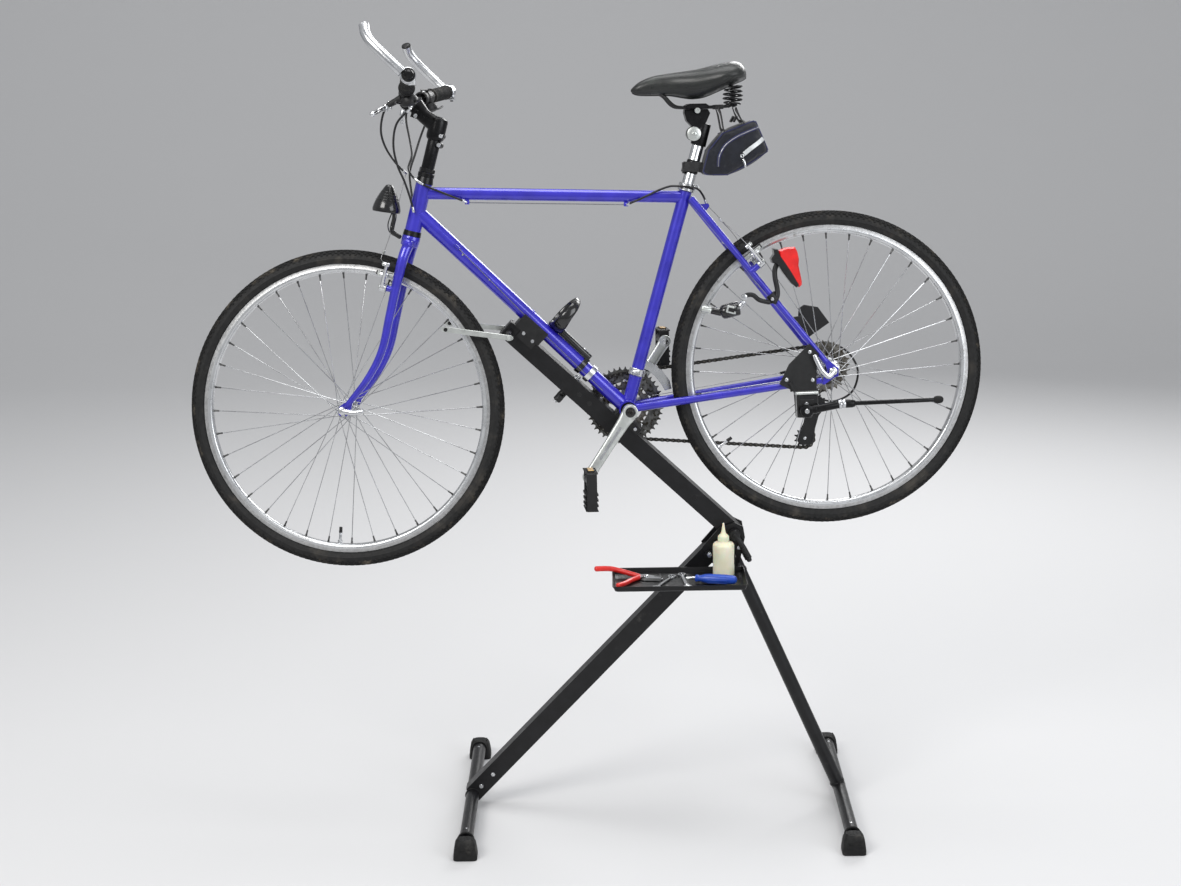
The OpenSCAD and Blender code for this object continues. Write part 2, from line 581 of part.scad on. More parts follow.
// ================= wheels =================
module turn() rotate([90, 0, 0]) rotate_extrude($fn = 96) children();
module tyre_2d() difference() {
  translate([tyre_r - tyre_w, 0]) circle(tyre_w);
  translate([tyre_r - tyre_w, 0]) circle(tyre_w - 3.4);
  translate([280, -12 - E]) square([38.5 + E, 24 + 2 * E]);
}
module rim_2d() polygon([[300, -5], [303, -10], [311, -12], [318.5, -12], [318.5, -10.4], [310, -8], [310, 8], [318.5, 10.4], [318.5, 12], [311, 12], [303, 10], [300, 5]]);
module spoke_set(fl, fr, rf) for (k = [0:spokes - 1]) {
  s = k % 2 == 0 ? -1 : 1;
  j = floor(k / 2);
  w = j % 2 == 0 ? -1 : 1;
  a = 360 / spokes * k;
  b = a + w * 58;
  y = (s < 0 ? fl : fr) + w * 3.2;
  rod([rf * cos(b), y, rf * sin(b)], [299.6 * cos(a), s * 1.5, 299.6 * sin(a)], 1, $fn = 14);
}
module hub_shell(fl, fr, rf, rb, bore) difference() {
  union() {
    yrod([0, 0, 0], fl - 4, fr + 4, rb);
    yrod([0, 0, 0], fl - 1.5, fl + 1.5, rf + 3);
    yrod([0, 0, 0], fr - 1.5, fr + 1.5, rf + 3);
  }
  yrod([0, 0, 0], fl - 10, fr + 10, bore);
}
module front_tyre() color([0.04, 0.04, 0.04]) steered() translate(hub_f) turn() tyre_2d();
module front_rim() color([0.72, 0.72, 0.74]) steered() translate(hub_f) turn() rim_2d();
module front_spokes() color([0.6, 0.6, 0.62]) steered() translate(hub_f) spoke_set(-29, 29, 17);
module front_hub() color([0.65, 0.65, 0.67]) steered() translate(hub_f) hub_shell(-29, 29, 17, 11, 4.55);
module rear_tyre() color([0.04, 0.04, 0.04]) bike() translate(hub_r) turn() tyre_2d();
module rear_rim() color([0.72, 0.72, 0.74]) bike() translate(hub_r) turn() rim_2d();
module rear_spokes() color([0.6, 0.6, 0.62]) bike() translate(hub_r) spoke_set(-34, 17, 20);
module rear_hub() color([0.65, 0.65, 0.67]) bike() translate(hub_r) hub_shell(-34, 17, 20, 15, 5.05);

// ================= steering =================
blade = [[-470, 33, 372], [-480, 41, 345], [-497, 43, 282], [-513, 46, 216], [-531, 49, 146], [-562, 52, 88], [-611, 53, 27]];
module fork() color([0.13, 0.11, 0.66]) steered() difference() {
  union() {
    rod(at(ht_bot, sd, -30), at(ht_top, sd, 36), 14.3);
    rod(at(ht_bot, sd, -34), at(ht_bot, sd, -11.1), 20);
    yrod(at(ht_bot, sd, -27), -46, 46, 12);
    sweep(smooth(blade, 3), [12.5, 7], 12);
    sweep(smooth(flip(blade), 3), [12.5, 7], 12);
    for (s = [-1, 1]) {
      rod(flip_y(fb_pv, s) - sf * 24, flip_y(fb_pv, s) - sf * 3.4, 7);
      rod(flip_y(fb_pv, s) - sf * 20, flip_y(fb_pv, s) + sf * 12, 4);
    }
    for (s = [-1, 1]) plate([[-600, 30], [-612, 34], [-628, 22], [-630, 10], [-620, 4], [-608, 14]], s > 0 ? 50 : -56, s > 0 ? 56 : -50);
  }
  rod(at(ht_bot, sd, -60), at(ht_top, sd, 60), 12.5);
  yrod(hub_f, -70, 70, 4.6);
}
st_c = [-463, 0, 684];              // handlebar clamp centre
st_e = at(ht_top, sd, 132);         // stem elbow
module stem() color([0.06, 0.06, 0.07]) steered() difference() {
  union() {
    rod(at(ht_top, sd, 14.1), at(ht_top, sd, 34), 18);
    rod(at(ht_top, sd, 34), at(ht_top, sd, 118), 14.5);
    rod(at(ht_top, sd, 100), at(ht_top, sd, 148), 20);
    hull() {
      rod(at(st_e, sd, -16), at(st_e, sd, 12), 15);
      rod(st_c + [18, -16, -8], st_c + [18, 16, -8], 15);
    }
    yrod(st_c, -21, 21, 19);
    rod(st_c + [14, -14, -34], st_c + [14, 14, -34], 5);
  }
  yrod(st_c, -40, 40, 12.7 + E);
  rod(at(ht_bot, sd, 0), at(ht_top, sd, 36), 14.3 + E);
}
bar_pts = [[-463, 58, 684], [-459, 84, 688], [-452, 112, 695], [-440, 160, 705], [-426, 240, 716], [-415, 292, 722]];
module handlebar() color([0.06, 0.06, 0.07]) steered() {
  yrod(st_c, -58, 58, 12.7);
  for (s = [-1, 1]) sweep(smooth(s > 0 ? bar_pts : flip(bar_pts), 2), 11, 12, [1, 0, 0]);
}
gp = [[-444.6, 143, 701.3], [-417.4, 281, 720.7]];
function gl(l, s) = let (g = unit([27.2 * 1, 138, 19.4])) [gp[0][0] + g[0] * l, s * (gp[0][1] + g[1] * l), gp[0][2] + g[2] * l];
module grips() color([0.05, 0.05, 0.05]) steered() for (s = [-1, 1]) difference() {
  rod(gl(14, s), gl(122, s), 15.5);
  handlebar_solid(s);
}
module handlebar_solid(s) sweep(smooth(s > 0 ? bar_pts : flip(bar_pts), 2), 11 + E, 12, [1, 0, 0]);
be = [[-430, 286, 727], [-446, 287, 744], [-470, 286, 768], [-493, 282, 791], [-505, 273, 809], [-509, 263, 826]];
module bar_ends() color([0.75, 0.77, 0.76]) steered() for (s = [-1, 1]) difference() {
  union() {
    rod(gl(130, s), gl(148, s), 16.5);
    sweep(smooth(s > 0 ? be : flip(be), 3), 10.5, 12, [0, 1, 0]);
  }
  handlebar_solid(s);
}
module lever_mounts() color([0.06, 0.06, 0.06]) steered() for (s = [-1, 1]) difference() {
  union() {
    rod(gl(-42, s), gl(-28, s), 15.5);                       // brake lever clamp
    rod(gl(-20, s), gl(8, s), 15);                           // shifter clamp
    hull() {
      rod(gl(-40, s) + [-12, 0, -12], gl(-30, s) + [-12, 0, -12], 7);
      rod(gl(-44, s) + [-34, 0, -22], gl(-36, s) + [-34, 0, -22], 6);
    }
    hull() {
      rod(gl(-18, s) + [0, 0, -16], gl(4, s) + [0, 0, -16], 8);
      rod(gl(-16, s) + [6, 0, -32], gl(0, s) + [6, 0, -32], 6);
    }
  }
  handlebar_solid(s);
}
function lv(s, p) = gl(-36, s) + [p[0], s * p[1], p[2]];
lv_pts = [[-45, 1, -30], [-48, 14, -33], [-49, 36, -35], [-52, 62, -41], [-58, 84, -47]];
module lever(s) {
  sweep(smooth([for (p = lv_pts) lv(s, p)], 3), [6, 4.5], 8, [1, 0, 0.3]);
}
module brake_lever_left() color([0.75, 0.76, 0.77]) steered() lever(-1);
module brake_lever_right() color([0.75, 0.76, 0.77]) steered() lever(1);
module bar_cables() color([0.05, 0.05, 0.05]) steered() {
  sweep(smooth([[-486, -108, 676], [-504, -92, 656], [-516, -62, 620], [-512, -34, 586], [-494, -12, 552], [-476, 10, 530]], 3), 2.4, 8);
  sweep(smooth([[-486, 108, 676], [-486, 92, 648], [-474, 62, 604], [-466, 34, 570], [-470, 8, 542], [-458, -18, 523], [-444, -23.4, 511]], 3), 2.4, 8);
  sweep(smooth([[-440, -130, 662], [-472, -116, 632], [-486, -84, 590], [-484, -56, 548], [-472, -40, 512], [-462, -30, 476], [-456, -24, 446]], 3), 2.4, 8);
  sweep(smooth([[-440, 130, 662], [-456, 108, 616], [-466, 76, 572], [-474, 50, 534], [-470, 34, 496], [-462, 27, 446]], 3), 2.4, 8);
}
module front_axle() color([0.75, 0.76, 0.78]) steered() {
  yrod(hub_f, -62, 62, 4.5);
  yrod(hub_f, 56.1, 66, 9);
  yrod(hub_f, -64, -56.1, 8);
  sweep(smooth([hub_f + [0, -62, 0], hub_f + [10, -66, -2], hub_f + [26, -68, -4], hub_f + [44, -68, -2]], 3), [6, 4.5], 8, [0, 1, 0], 0.6);
}
module headlight() color([0.04, 0.04, 0.05]) steered() {
  translate([-518, 0, 464]) rotate([0, 9, 0]) rotate_extrude() polygon([[0, -16], [29, -18], [31, -12], [27, 4], [19, 22], [11, 36], [6, 42], [0, 43]]);
  sweep(smooth([[-503, 0, 452], [-503, 0, 434], [-507, 0, 418], [-508, 0, 404], [-492, 0, 392]], 3), 5, 8);
}

// ---- cantilever brakes: one arm each ----
// pv pivot, ax axle direction, up towards the cable, side s, rim point
module canti(pv, ax, up, s, pa) difference() {
  c = pv + ax * 6 + up * 27;
  union() {
    rod(pv - ax * 3, pv + ax * 12, 9);
    rod(pv + ax * 6 + [0, s * 6, 0] + up * 5, pv + ax * 4 + [0, s * 22, 0] + up * 50, 5.5, 4);
    rod(c + [0, -s * (abs(pv[1]) - 22), 0], c + [0, s * 13, 0], 3.5);
    // pad: its long side follows the rim
    translate([c[0], s * 18.6, c[2]]) rotate([0, pa, 0]) cube([50, 8.4, 8.6], center = true);
  }
  rod(pv - ax * 10, pv + ax * 12.5, 4.05);
}
fb_pv = [-520, 46, 283];
module front_brake(s) {
  p = [fb_pv[0], s * fb_pv[1], fb_pv[2]];
  canti(p, sf, sd, s, 19);
}
module front_brake_left() color([0.72, 0.73, 0.74]) steered() front_brake(-1);
module front_brake_right() color([0.72, 0.73, 0.74]) steered() front_brake(1);
ru = unit([-292, 0, 368]);
rb = [0.7834, 0, 0.6216];
rb_pv = [294, 43, 314.5];
module rear_brake(s) {
  p = [rb_pv[0], s * rb_pv[1], rb_pv[2]];
  canti(p, rb, ru, s, -32.7);
}
module rear_brake_left() color([0.72, 0.73, 0.74]) bike() rear_brake(-1);
module rear_brake_right() color([0.72, 0.73, 0.74]) bike() rear_brake(1);

// ================= saddle =================
sp_top = st_ax * 640 + [-10, 0, 0];
module seatpost() color([0.72, 0.73, 0.74]) bike() {
  rod(st_ax * 370, st_ax * 600, post_r);
  difference() {
    union() {
      rod(st_ax * 600.02, st_ax * 650, 17);
      plate([[141, 632], [138, 666], [188, 666], [192, 652], [182, 626], [160, 612]], -17, 17);
      yrod([163, 0, 659], -28, 28, 10);
    }
    for (s = [-1, 1]) rod([80, s * 22, 659], [240, s * 22, 659], 3.8);
  }
}
module saddle_rails() color([0.05, 0.05, 0.05]) bike() for (s = [-1, 1]) {
  sweep(smooth([[72, s * 5, 694], [92, s * 13, 684], [112, s * 21, 664], [134, s * 22, 659], [190, s * 22, 659], [228, s * 23, 660], [240, s * 32, 664]], 3), 3.5, 8);
  // coil spring, as a closed sleeve
  translate([244, s * 42, 662]) rotate([0, 6, 0]) cylinder(h = 40, r1 = 14, r2 = 17);
}
sec = [[22, 8, 704, 692], [38, 17, 715, 685], [66, 22, 727, 682], [106, 29, 733, 682], [146, 46, 740, 677], [184, 66, 748, 682], [218, 76, 756, 697], [244, 74, 758, 707], [264, 58, 750, 715], [273, 34, 741, 722]];
module saddle() color([0.05, 0.05, 0.05]) bike() {
  n = len(sec);
  m = 14;
  pts = [for (q = sec) for (j = [0:m - 1]) let (a = 360 * j / m, c = cos(a), s = sin(a))
    [q[0], q[1] * (abs(c) < 1e-6 ? 0 : sign(c) * pow(abs(c), 0.8)), (q[2] + q[3]) / 2 + (q[2] - q[3]) / 2 * (abs(s) < 1e-6 ? 0 : sign(s) * pow(abs(s), 0.8))]];
  f = [for (i = [0:n - 2]) for (j = [0:m - 1]) for (h = [0, 1]) let (p = i * m, q = (i + 1) * m, k = (j + 1) % m)
    h == 0 ? [p + j, q + k, q + j] : [p + j, p + k, q + k]];
  polyhedron(points = pts, faces = concat(f, [[for (j = [m - 1:-1:0]) j], [for (j = [0:m - 1]) (n - 1) * m + j]]));
}
module saddle_bag() color([0.05, 0.06, 0.12]) bike() {
  hull() for (q = [[179, 516, 12, 52], [192, 560, 12, 66], [222, 598, 12, 82], [286, 622, 12, 84], [313, 564, 12, 82], [270, 534, 12, 78], [222, 512, 12, 74]])
    translate([q[0], 0, q[1]]) rotate([90, 0, 0]) cylinder(h = q[3], r = q[2], center = true, $fn = 20);
}

stand_head();
rear_leg();
front_leg();
rear_feet();
front_feet();
boom_tube();
boom_cradles();
clamp_hook();
wing_handle();
tilt_handle();
wheel_restraint();
tool_tray();
squeeze_bottle();
hand_tools();
down_tube();
top_tube();
seat_tube();
seat_stays();
chain_stays();
frame_fittings();
bottle_cage();
stay_brackets();
kickstand_leg();
dynamo();
rear_axle();
derailleurs();
frame_cables();
chain();
fork();
stem();
handlebar();
grips();
bar_ends();
lever_mounts();
bar_cables();
front_axle();
headlight();
brake_lever_left();
brake_lever_right();
front_brake_left();
front_brake_right();
rear_brake_left();
rear_brake_right();
front_tyre();
front_rim();
front_spokes();
front_hub();
rear_tyre();
rear_rim();
rear_spokes();
rear_hub();
cassette();
crank_arms();
chainrings();
pedal_left();
pedal_right();
seatpost();
saddle_rails();
saddle();
saddle_bag();
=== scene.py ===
import bpy, bmesh, math
import numpy as np
from mathutils import Matrix, Vector


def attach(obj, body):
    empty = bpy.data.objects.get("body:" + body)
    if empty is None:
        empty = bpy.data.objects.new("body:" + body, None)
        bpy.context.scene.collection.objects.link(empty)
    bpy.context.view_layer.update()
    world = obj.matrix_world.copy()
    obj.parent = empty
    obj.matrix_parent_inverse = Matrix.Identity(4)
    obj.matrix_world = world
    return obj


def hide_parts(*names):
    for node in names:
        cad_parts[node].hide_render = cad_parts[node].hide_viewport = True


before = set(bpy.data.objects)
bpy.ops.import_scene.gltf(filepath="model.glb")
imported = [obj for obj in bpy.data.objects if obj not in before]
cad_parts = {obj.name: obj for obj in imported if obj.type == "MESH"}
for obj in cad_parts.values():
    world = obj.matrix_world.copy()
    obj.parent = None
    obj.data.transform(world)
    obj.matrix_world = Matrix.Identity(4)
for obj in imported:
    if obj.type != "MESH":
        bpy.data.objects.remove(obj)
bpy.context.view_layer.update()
scene = bpy.context.scene

# ------------------------------------------------------------------ places, in mm
def vec(*a):
    return np.array(a, float)
def unit(v):
    v = np.asarray(v, float)
    return v / np.linalg.norm(v)
def rotm(ax, deg):
    x, y, z = unit(ax)
    t = math.radians(deg)
    k = np.array([[0, -z, y], [z, 0, -x], [-y, x, 0]])
    return np.eye(3) + math.sin(t) * k + (1 - math.cos(t)) * k @ k
OFF = vec(3, -5, 0)
DTA = math.radians(44.57)
DT = vec(-math.cos(DTA), 0, math.sin(DTA))
DN = vec(math.sin(DTA), 0, math.cos(DTA))
RB = rotm(DT, 7)
OB = vec(82, 0, 934.6) + OFF
HT, HB = vec(-435.2, 0, 507), vec(-463, 0, 404.6)
SD, SF = vec(0.2622, 0, 0.965), vec(-0.965, 0, 0.2622)
RS = rotm(SD, -9.5)
def bike(p):
    return OB + np.asarray(p, float) @ RB.T
def steer(p):
    return bike(HT + (np.asarray(p, float) - HT) @ RS.T)
def ground(p):
    return np.asarray(p, float) + OFF
HUBR, HUBF = vec(450, 0, 78), vec(-620, 0, 17)
ST = vec(0.2778, 0, 0.9606)
BA = math.radians(43.4)
BD = vec(-math.cos(BA), 0, math.sin(BA))
BN = vec(math.sin(BA), 0, math.cos(BA))
PIV = vec(318, 0, 648)
WR = PIV + BD * 677
HOOK = PIV + BD * 497 + BN * 49
CA = vec(-0.5596, 0, -0.8288)
X_, Y_, Z_ = vec(1, 0, 0), vec(0, 1, 0), vec(0, 0, 1)

# ------------------------------------------------------------------ mesh building
def smooth(p, n):
    p = [np.asarray(q, float) for q in p]
    out = []
    for i in range(len(p) - 1):
        a, b, c, d = p[max(i - 1, 0)], p[i], p[i + 1], p[min(i + 2, len(p) - 1)]
        for k in range(n):
            t = k / n
            out.append(0.5 * (2 * b + (c - a) * t + (2 * a - 5 * b + 4 * c - d) * t * t + (3 * b - a - 3 * c + d) * t ** 3))
    return out + [p[-1]]
def flip(p):
    return [[q[0], -q[1], q[2]] for q in p]
def frame_of(d, ref=None):
    d = unit(d)
    if ref is None or abs(np.dot(unit(ref), d)) > 0.98:
        ref = Y_ if abs(d[1]) < 0.9 else Z_
    a = unit(np.cross(ref, d))
    return a, np.cross(d, a), d

class Mesh:
    def __init__(self, place):
        self.place, self.v, self.f, self.m, self.n = place, [], [], [], 0
    def add(self, v, f, mat=0):
        v = np.asarray(v, float).reshape(-1, 3)
        self.v.append(v)
        n = self.n
        self.f += [[i + n for i in q] for q in f]
        self.m += mat if isinstance(mat, list) else [mat] * len(f)
        self.n += len(v)
        return self
    def rings(self, rings, mat=0, loop=False, caps=True):
        k, n = len(rings[0]), len(rings)
        f = []
        for i in range(n if loop else n - 1):
            a, b = i * k, ((i + 1) % n) * k
            f += [[a + j, a + (j + 1) % k, b + (j + 1) % k, b + j] for j in range(k)]
        if caps and not loop:
            f += [list(range(k))[::-1], [(n - 1) * k + j for j in range(k)]]
        if isinstance(mat, list):
            mat = mat * (n if loop else n - 1) + ([mat[0]] * 2 if caps and not loop else [])
        return self.add(np.concatenate(rings), f, mat)
    # turned solid: prof is a list of (radius, height) along d from p
    def lathe(self, p, d, prof, n=32, mat=0, loop=False, ref=None):
        a, b, d = frame_of(d, ref)
        t = np.arange(n) * 2 * math.pi / n
        c = np.cos(t)[:, None] * a + np.sin(t)[:, None] * b
        rs = [np.asarray(p, float) + d * h + c * max(r, 1e-3) for r, h in prof]
        return self.rings(rs, mat, loop=loop)
    def rod(self, p, q, r, r2=None, n=28, b=0.5, mat=0):
        p, q = np.asarray(p, float), np.asarray(q, float)
        r2 = r if r2 is None else r2
        l = np.linalg.norm(q - p)
        b = min(b, r * 0.4, r2 * 0.4, l * 0.3)
        return self.lathe(p, q - p, [(r - b, 0), (r - b * 0.3, b * 0.3), (r, b), (r2, l - b), (r2 - b * 0.3, l - b * 0.3), (r2 - b, l)], n, mat)
    def ring(self, p, d, r_in, r_out, h0, h1, n=40, b=0.4, mat=0):
        b = min(b, (r_out - r_in) * 0.35, (h1 - h0) * 0.35)
        return self.lathe(p, d, [(r_in + b, h0), (r_out - b, h0), (r_out, h0 + b), (r_out, h1 - b), (r_out - b, h1), (r_in + b, h1), (r_in, h1 - b), (r_in, h0 + b)], n, mat, loop=True)
    def tube(self, path, r, n=12, mat=0, flat=1.0, ref=None, loop=False, ends="round", power=2.0):
        path = [np.asarray(q, float) for q in path]
        k = len(path)
        tan = []
        for i in range(k):
            d = path[(i + 1) % k] - path[i - 1] if loop else path[min(i + 1, k - 1)] - path[max(i - 1, 0)]
            tan.append(unit(d))
        rr = [r[0] + (r[1] - r[0]) * i / (k - 1) for i in range(k)] if isinstance(r, (list, tuple)) and len(r) == 2 and k != 2 else (list(r) if isinstance(r, (list, tuple)) else [r] * k)
        if ref is None:
            a = frame_of(tan[0])[0]
            fr = []
            for t in tan:
                a = unit(a - np.dot(a, t) * t)
                fr.append((a, np.cross(t, a)))
        else:
            fr = []
            for t in tan:
                a = unit(np.cross(ref, t))
                fr.append((a, np.cross(t, a)))
        th = (np.arange(n) + 0.5) * 2 * math.pi / n
        cs, sn = np.cos(th), np.sin(th)
        if power != 2.0:
            cs, sn = np.sign(cs) * np.abs(cs) ** (2 / power), np.sign(sn) * np.abs(sn) ** (2 / power)
        def ring_at(c, i, s):
            a, b = fr[i]
            return c + rr[i] * s * (cs[:, None] * a + flat * sn[:, None] * b)
        rs = [ring_at(path[i], i, 1) for i in range(k)]
        if not loop and ends == "round":
            h = [0.94, 0.75, 0.4]
            o = [0.34, 0.66, 0.92]
            rs = [ring_at(path[0] - tan[0] * rr[0] * min(1, flat) * b, 0, a) for a, b in zip(h[::-1], o[::-1])] + rs + \
                 [ring_at(path[-1] + tan[-1] * rr[-1] * min(1, flat) * b, k - 1, a) for a, b in zip(h, o)]
        elif not loop and ends == "bevel":
            rs = [ring_at(path[0] - tan[0] * 0.4, 0, 1 - 0.6 / rr[0])] + rs + [ring_at(path[-1] + tan[-1] * 0.4, k - 1, 1 - 0.6 / rr[-1])]
        return self.rings(rs, mat, loop=loop)
    # flat plate: outline in two local axes, extruded along the third
    def slab(self, pts, y0, y1, b=0.5, mat=0, o=None, ax=None):
        o = vec(0, 0, 0) if o is None else np.asarray(o, float)
        u, w, t = (X_, Z_, Y_) if ax is None else ax
        P = np.array(pts, float)
        ar = 0.5 * np.sum(P[:, 0] * np.roll(P[:, 1], -1) - np.roll(P[:, 0], -1) * P[:, 1])
        if ar < 0:
            P = P[::-1]
        e = np.roll(P, -1, 0) - P
        e /= np.linalg.norm(e, axis=1)[:, None] + 1e-12
        nn = np.stack([e[:, 1], -e[:, 0]], 1)
        m = nn + np.roll(nn, 1, 0)
        m /= np.maximum(np.sum(m * np.roll(nn, 1, 0), 1), 0.35)[:, None]
        b = min(b, (y1 - y0) * 0.4)
        Q = P - m * b
        def at(S, y):
            return o + S[:, :1] * u + S[:, 1:] * w + y * t
        return self.rings([at(Q, y0), at(P, y0 + b), at(P, y1 - b), at(Q, y1)], mat)
    def box(self, c, size, b=0.8, mat=0, R=None):
        R = np.eye(3) if R is None else R
        x, y, z = [s / 2 for s in size]
        return self.slab([[-x, -z], [x, -z], [x, z], [-x, z]], -y, y, b, mat, o=c, ax=(R[:, 0], R[:, 2], R[:, 1]))
    def ball(self, c, r, n=20, mat=0, sq=(1, 1, 1)):
        rs = []
        for i in range(1, 10):
            ph = math.pi * i / 10
            t = np.arange(n) * 2 * math.pi / n
            rs.append(np.asarray(c, float) + r * np.stack([np.sin(ph) * np.cos(t) * sq[0], np.sin(ph) * np.sin(t) * sq[1], np.full(n, math.cos(ph)) * sq[2]], 1))
        return self.rings(rs, mat)
    # hexagon-headed bolt
    def bolt(self, p, d, r=4, h=3, mat=0, socket=True):
        a, bb, d = frame_of(d)
        p = np.asarray(p, float)
        if socket:
            self.lathe(p, d, [(r, 0), (r, h * 0.7), (r * 0.86, h), (r * 0.5, h), (r * 0.5, h * 0.4), (r * 0.05, h * 0.4)], 20, mat)
        else:
            self.slab([[r * math.cos(k * math.pi / 3), r * math.sin(k * math.pi / 3)] for k in range(6)], 0, h, 0.5, mat, o=p, ax=(a, bb, d))
            self.rod(p + d * h * 0.9, p + d * (h + 0.9), r * 0.5, mat=mat, n=14)
        return self

def make(name, mesh, body, mats, rep=(), angle=38, sub=0):
    me = bpy.data.meshes.new(name)
    v = mesh.place(np.concatenate(mesh.v)) * 0.001
    me.from_pydata(v.tolist(), [], mesh.f)
    mats = mats if isinstance(mats, (list, tuple)) else [mats]
    for m in mats:
        me.materials.append(m)
    me.polygons.foreach_set("material_index", np.array(mesh.m, np.int32))
    bm = bmesh.new()
    bm.from_mesh(me)
    bmesh.ops.recalc_face_normals(bm, faces=bm.faces)
    bm.to_mesh(me)
    bm.free()
    me.shade_smooth()
    me.set_sharp_from_angle(angle=math.radians(angle))
    me.update()
    ob = bpy.data.objects.new(name, me)
    scene.collection.objects.link(ob)
    if sub:
        md = ob.modifiers.new("sub", "SUBSURF")
        md.levels = md.render_levels = sub
    if body:
        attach(ob, body)
    if rep:
        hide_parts(*rep)
    return ob

# ------------------------------------------------------------------ materials
class Mat:
    """Procedural material: colour from noise between two tones, roughness from noise, and bump layers."""
    def __init__(self, name, c1, c2=None, rough=(0.4, 0.5), metal=0.0, coat=0.0, coat_rough=0.08, spec=0.5, scale=60, detail=4,
                 bumps=(), wear=None, sheen=0.0, trans=0.0, ior=1.45, sss=0.0, aniso=0.0, dust=None, stretch=(1, 1, 1)):
        m = bpy.data.materials.new(name)
        m.use_nodes = True
        self.m = m
        nt = m.node_tree
        self.nt = nt
        bs = nt.nodes["Principled BSDF"]
        self.bs = bs
        tc = nt.nodes.new("ShaderNodeTexCoord")
        mp = nt.nodes.new("ShaderNodeMapping")
        mp.inputs["Scale"].default_value = stretch
        nt.links.new(tc.outputs["Object"], mp.inputs["Vector"])
        self.co, self.obj = mp.outputs["Vector"], tc.outputs["Object"]
        c2 = c1 if c2 is None else c2
        n1 = self.noise(scale, detail, self.co)
        col = self.mix(self.ramp(n1, 0.3, 0.7), c1, c2)
        if wear:                                   # (colour, scale, low, high, stretch)
            wc, ws, lo, hi, st = wear
            mw = nt.nodes.new("ShaderNodeMapping")
            mw.inputs["Scale"].default_value = st
            nt.links.new(self.obj, mw.inputs["Vector"])
            f = self.ramp(self.noise(ws, 6, mw.outputs["Vector"], 0.7), lo, hi)
            col = self.mixc(f, col, wc)
        if dust:                                   # (colour, scale, low, high)
            f = self.ramp(self.noise(dust[1], 5, self.obj, 0.6), dust[2], dust[3])
            col = self.mixc(f, col, dust[0])
        self.col = col
        nt.links.new(col, bs.inputs["Base Color"])
        rn = self.noise(scale * 1.7, 5, self.co, 0.6)
        mr = nt.nodes.new("ShaderNodeMapRange")
        mr.inputs["From Min"].default_value, mr.inputs["From Max"].default_value = 0.3, 0.7
        mr.inputs["To Min"].default_value, mr.inputs["To Max"].default_value = rough
        nt.links.new(rn, mr.inputs["Value"])
        nt.links.new(mr.outputs["Result"], bs.inputs["Roughness"])
        bs.inputs["Metallic"].default_value = metal
        bs.inputs["Coat Weight"].default_value = coat
        bs.inputs["Coat Roughness"].default_value = coat_rough
        bs.inputs["Specular IOR Level"].default_value = spec
        bs.inputs["Sheen Weight"].default_value = sheen
        bs.inputs["Transmission Weight"].default_value = trans
        bs.inputs["IOR"].default_value = ior
        bs.inputs["Subsurface Weight"].default_value = sss
        bs.inputs["Subsurface Scale"].default_value = 0.004
        bs.inputs["Anisotropic"].default_value = aniso
        last = None
        for kind, sc, dist in bumps:
            if kind == "noise":
                h = self.noise(sc, 3, self.co)
            elif kind == "leather":
                vo = nt.nodes.new("ShaderNodeTexVoronoi")
                vo.feature = "DISTANCE_TO_EDGE"
                vo.inputs["Scale"].default_value = sc
                nt.links.new(self.obj, vo.inputs["Vector"])
                h = self.ramp(vo.outputs["Distance"], 0.0, 0.12)
            elif kind == "cell":
                vo = nt.nodes.new("ShaderNodeTexVoronoi")
                vo.inputs["Scale"].default_value = sc
                nt.links.new(self.obj, vo.inputs["Vector"])
                h = vo.outputs["Distance"]
            else:                                   # a wave along x, y or z
                wv = nt.nodes.new("ShaderNodeTexWave")
                wv.bands_direction = kind.upper()
                wv.inputs["Scale"].default_value = sc
                wv.inputs["Distortion"].default_value = 0.4
                nt.links.new(self.obj, wv.inputs["Vector"])
                h = wv.outputs["Fac"]
            bp = nt.nodes.new("ShaderNodeBump")
            bp.inputs["Strength"].default_value = 0.6
            bp.inputs["Distance"].default_value = dist
            nt.links.new(h, bp.inputs["Height"])
            if last is not None:
                nt.links.new(last, bp.inputs["Normal"])
            last = bp.outputs["Normal"]
        if last is not None:
            nt.links.new(last, bs.inputs["Normal"])
    def noise(self, scale, detail, co, rough=0.5):
        n = self.nt.nodes.new("ShaderNodeTexNoise")
        n.inputs["Scale"].default_value = scale
        n.inputs["Detail"].default_value = detail
        n.inputs["Roughness"].default_value = rough
        self.nt.links.new(co, n.inputs["Vector"])
        return n.outputs["Fac"]
    def ramp(self, v, lo, hi):
        r = self.nt.nodes.new("ShaderNodeMapRange")
        r.interpolation_type = "SMOOTHSTEP"
        r.inputs["From Min"].default_value, r.inputs["From Max"].default_value = lo, hi
        self.nt.links.new(v, r.inputs["Value"])
        return r.outputs["Result"]
    def mix(self, f, a, b):
        x = self.nt.nodes.new("ShaderNodeMix")
        x.data_type = "RGBA"
        x.inputs[6].default_value, x.inputs[7].default_value = (*a, 1), (*b, 1)
        self.nt.links.new(f, x.inputs[0])
        return x.outputs[2]
    def mixc(self, f, col, b):
        x = self.nt.nodes.new("ShaderNodeMix")
        x.data_type = "RGBA"
        x.inputs[7].default_value = (*b, 1)
        self.nt.links.new(col, x.inputs[6])
        self.nt.links.new(f, x.inputs[0])
        return x.outputs[2]
def mat(*a, **k):
    return Mat(*a, **k).m

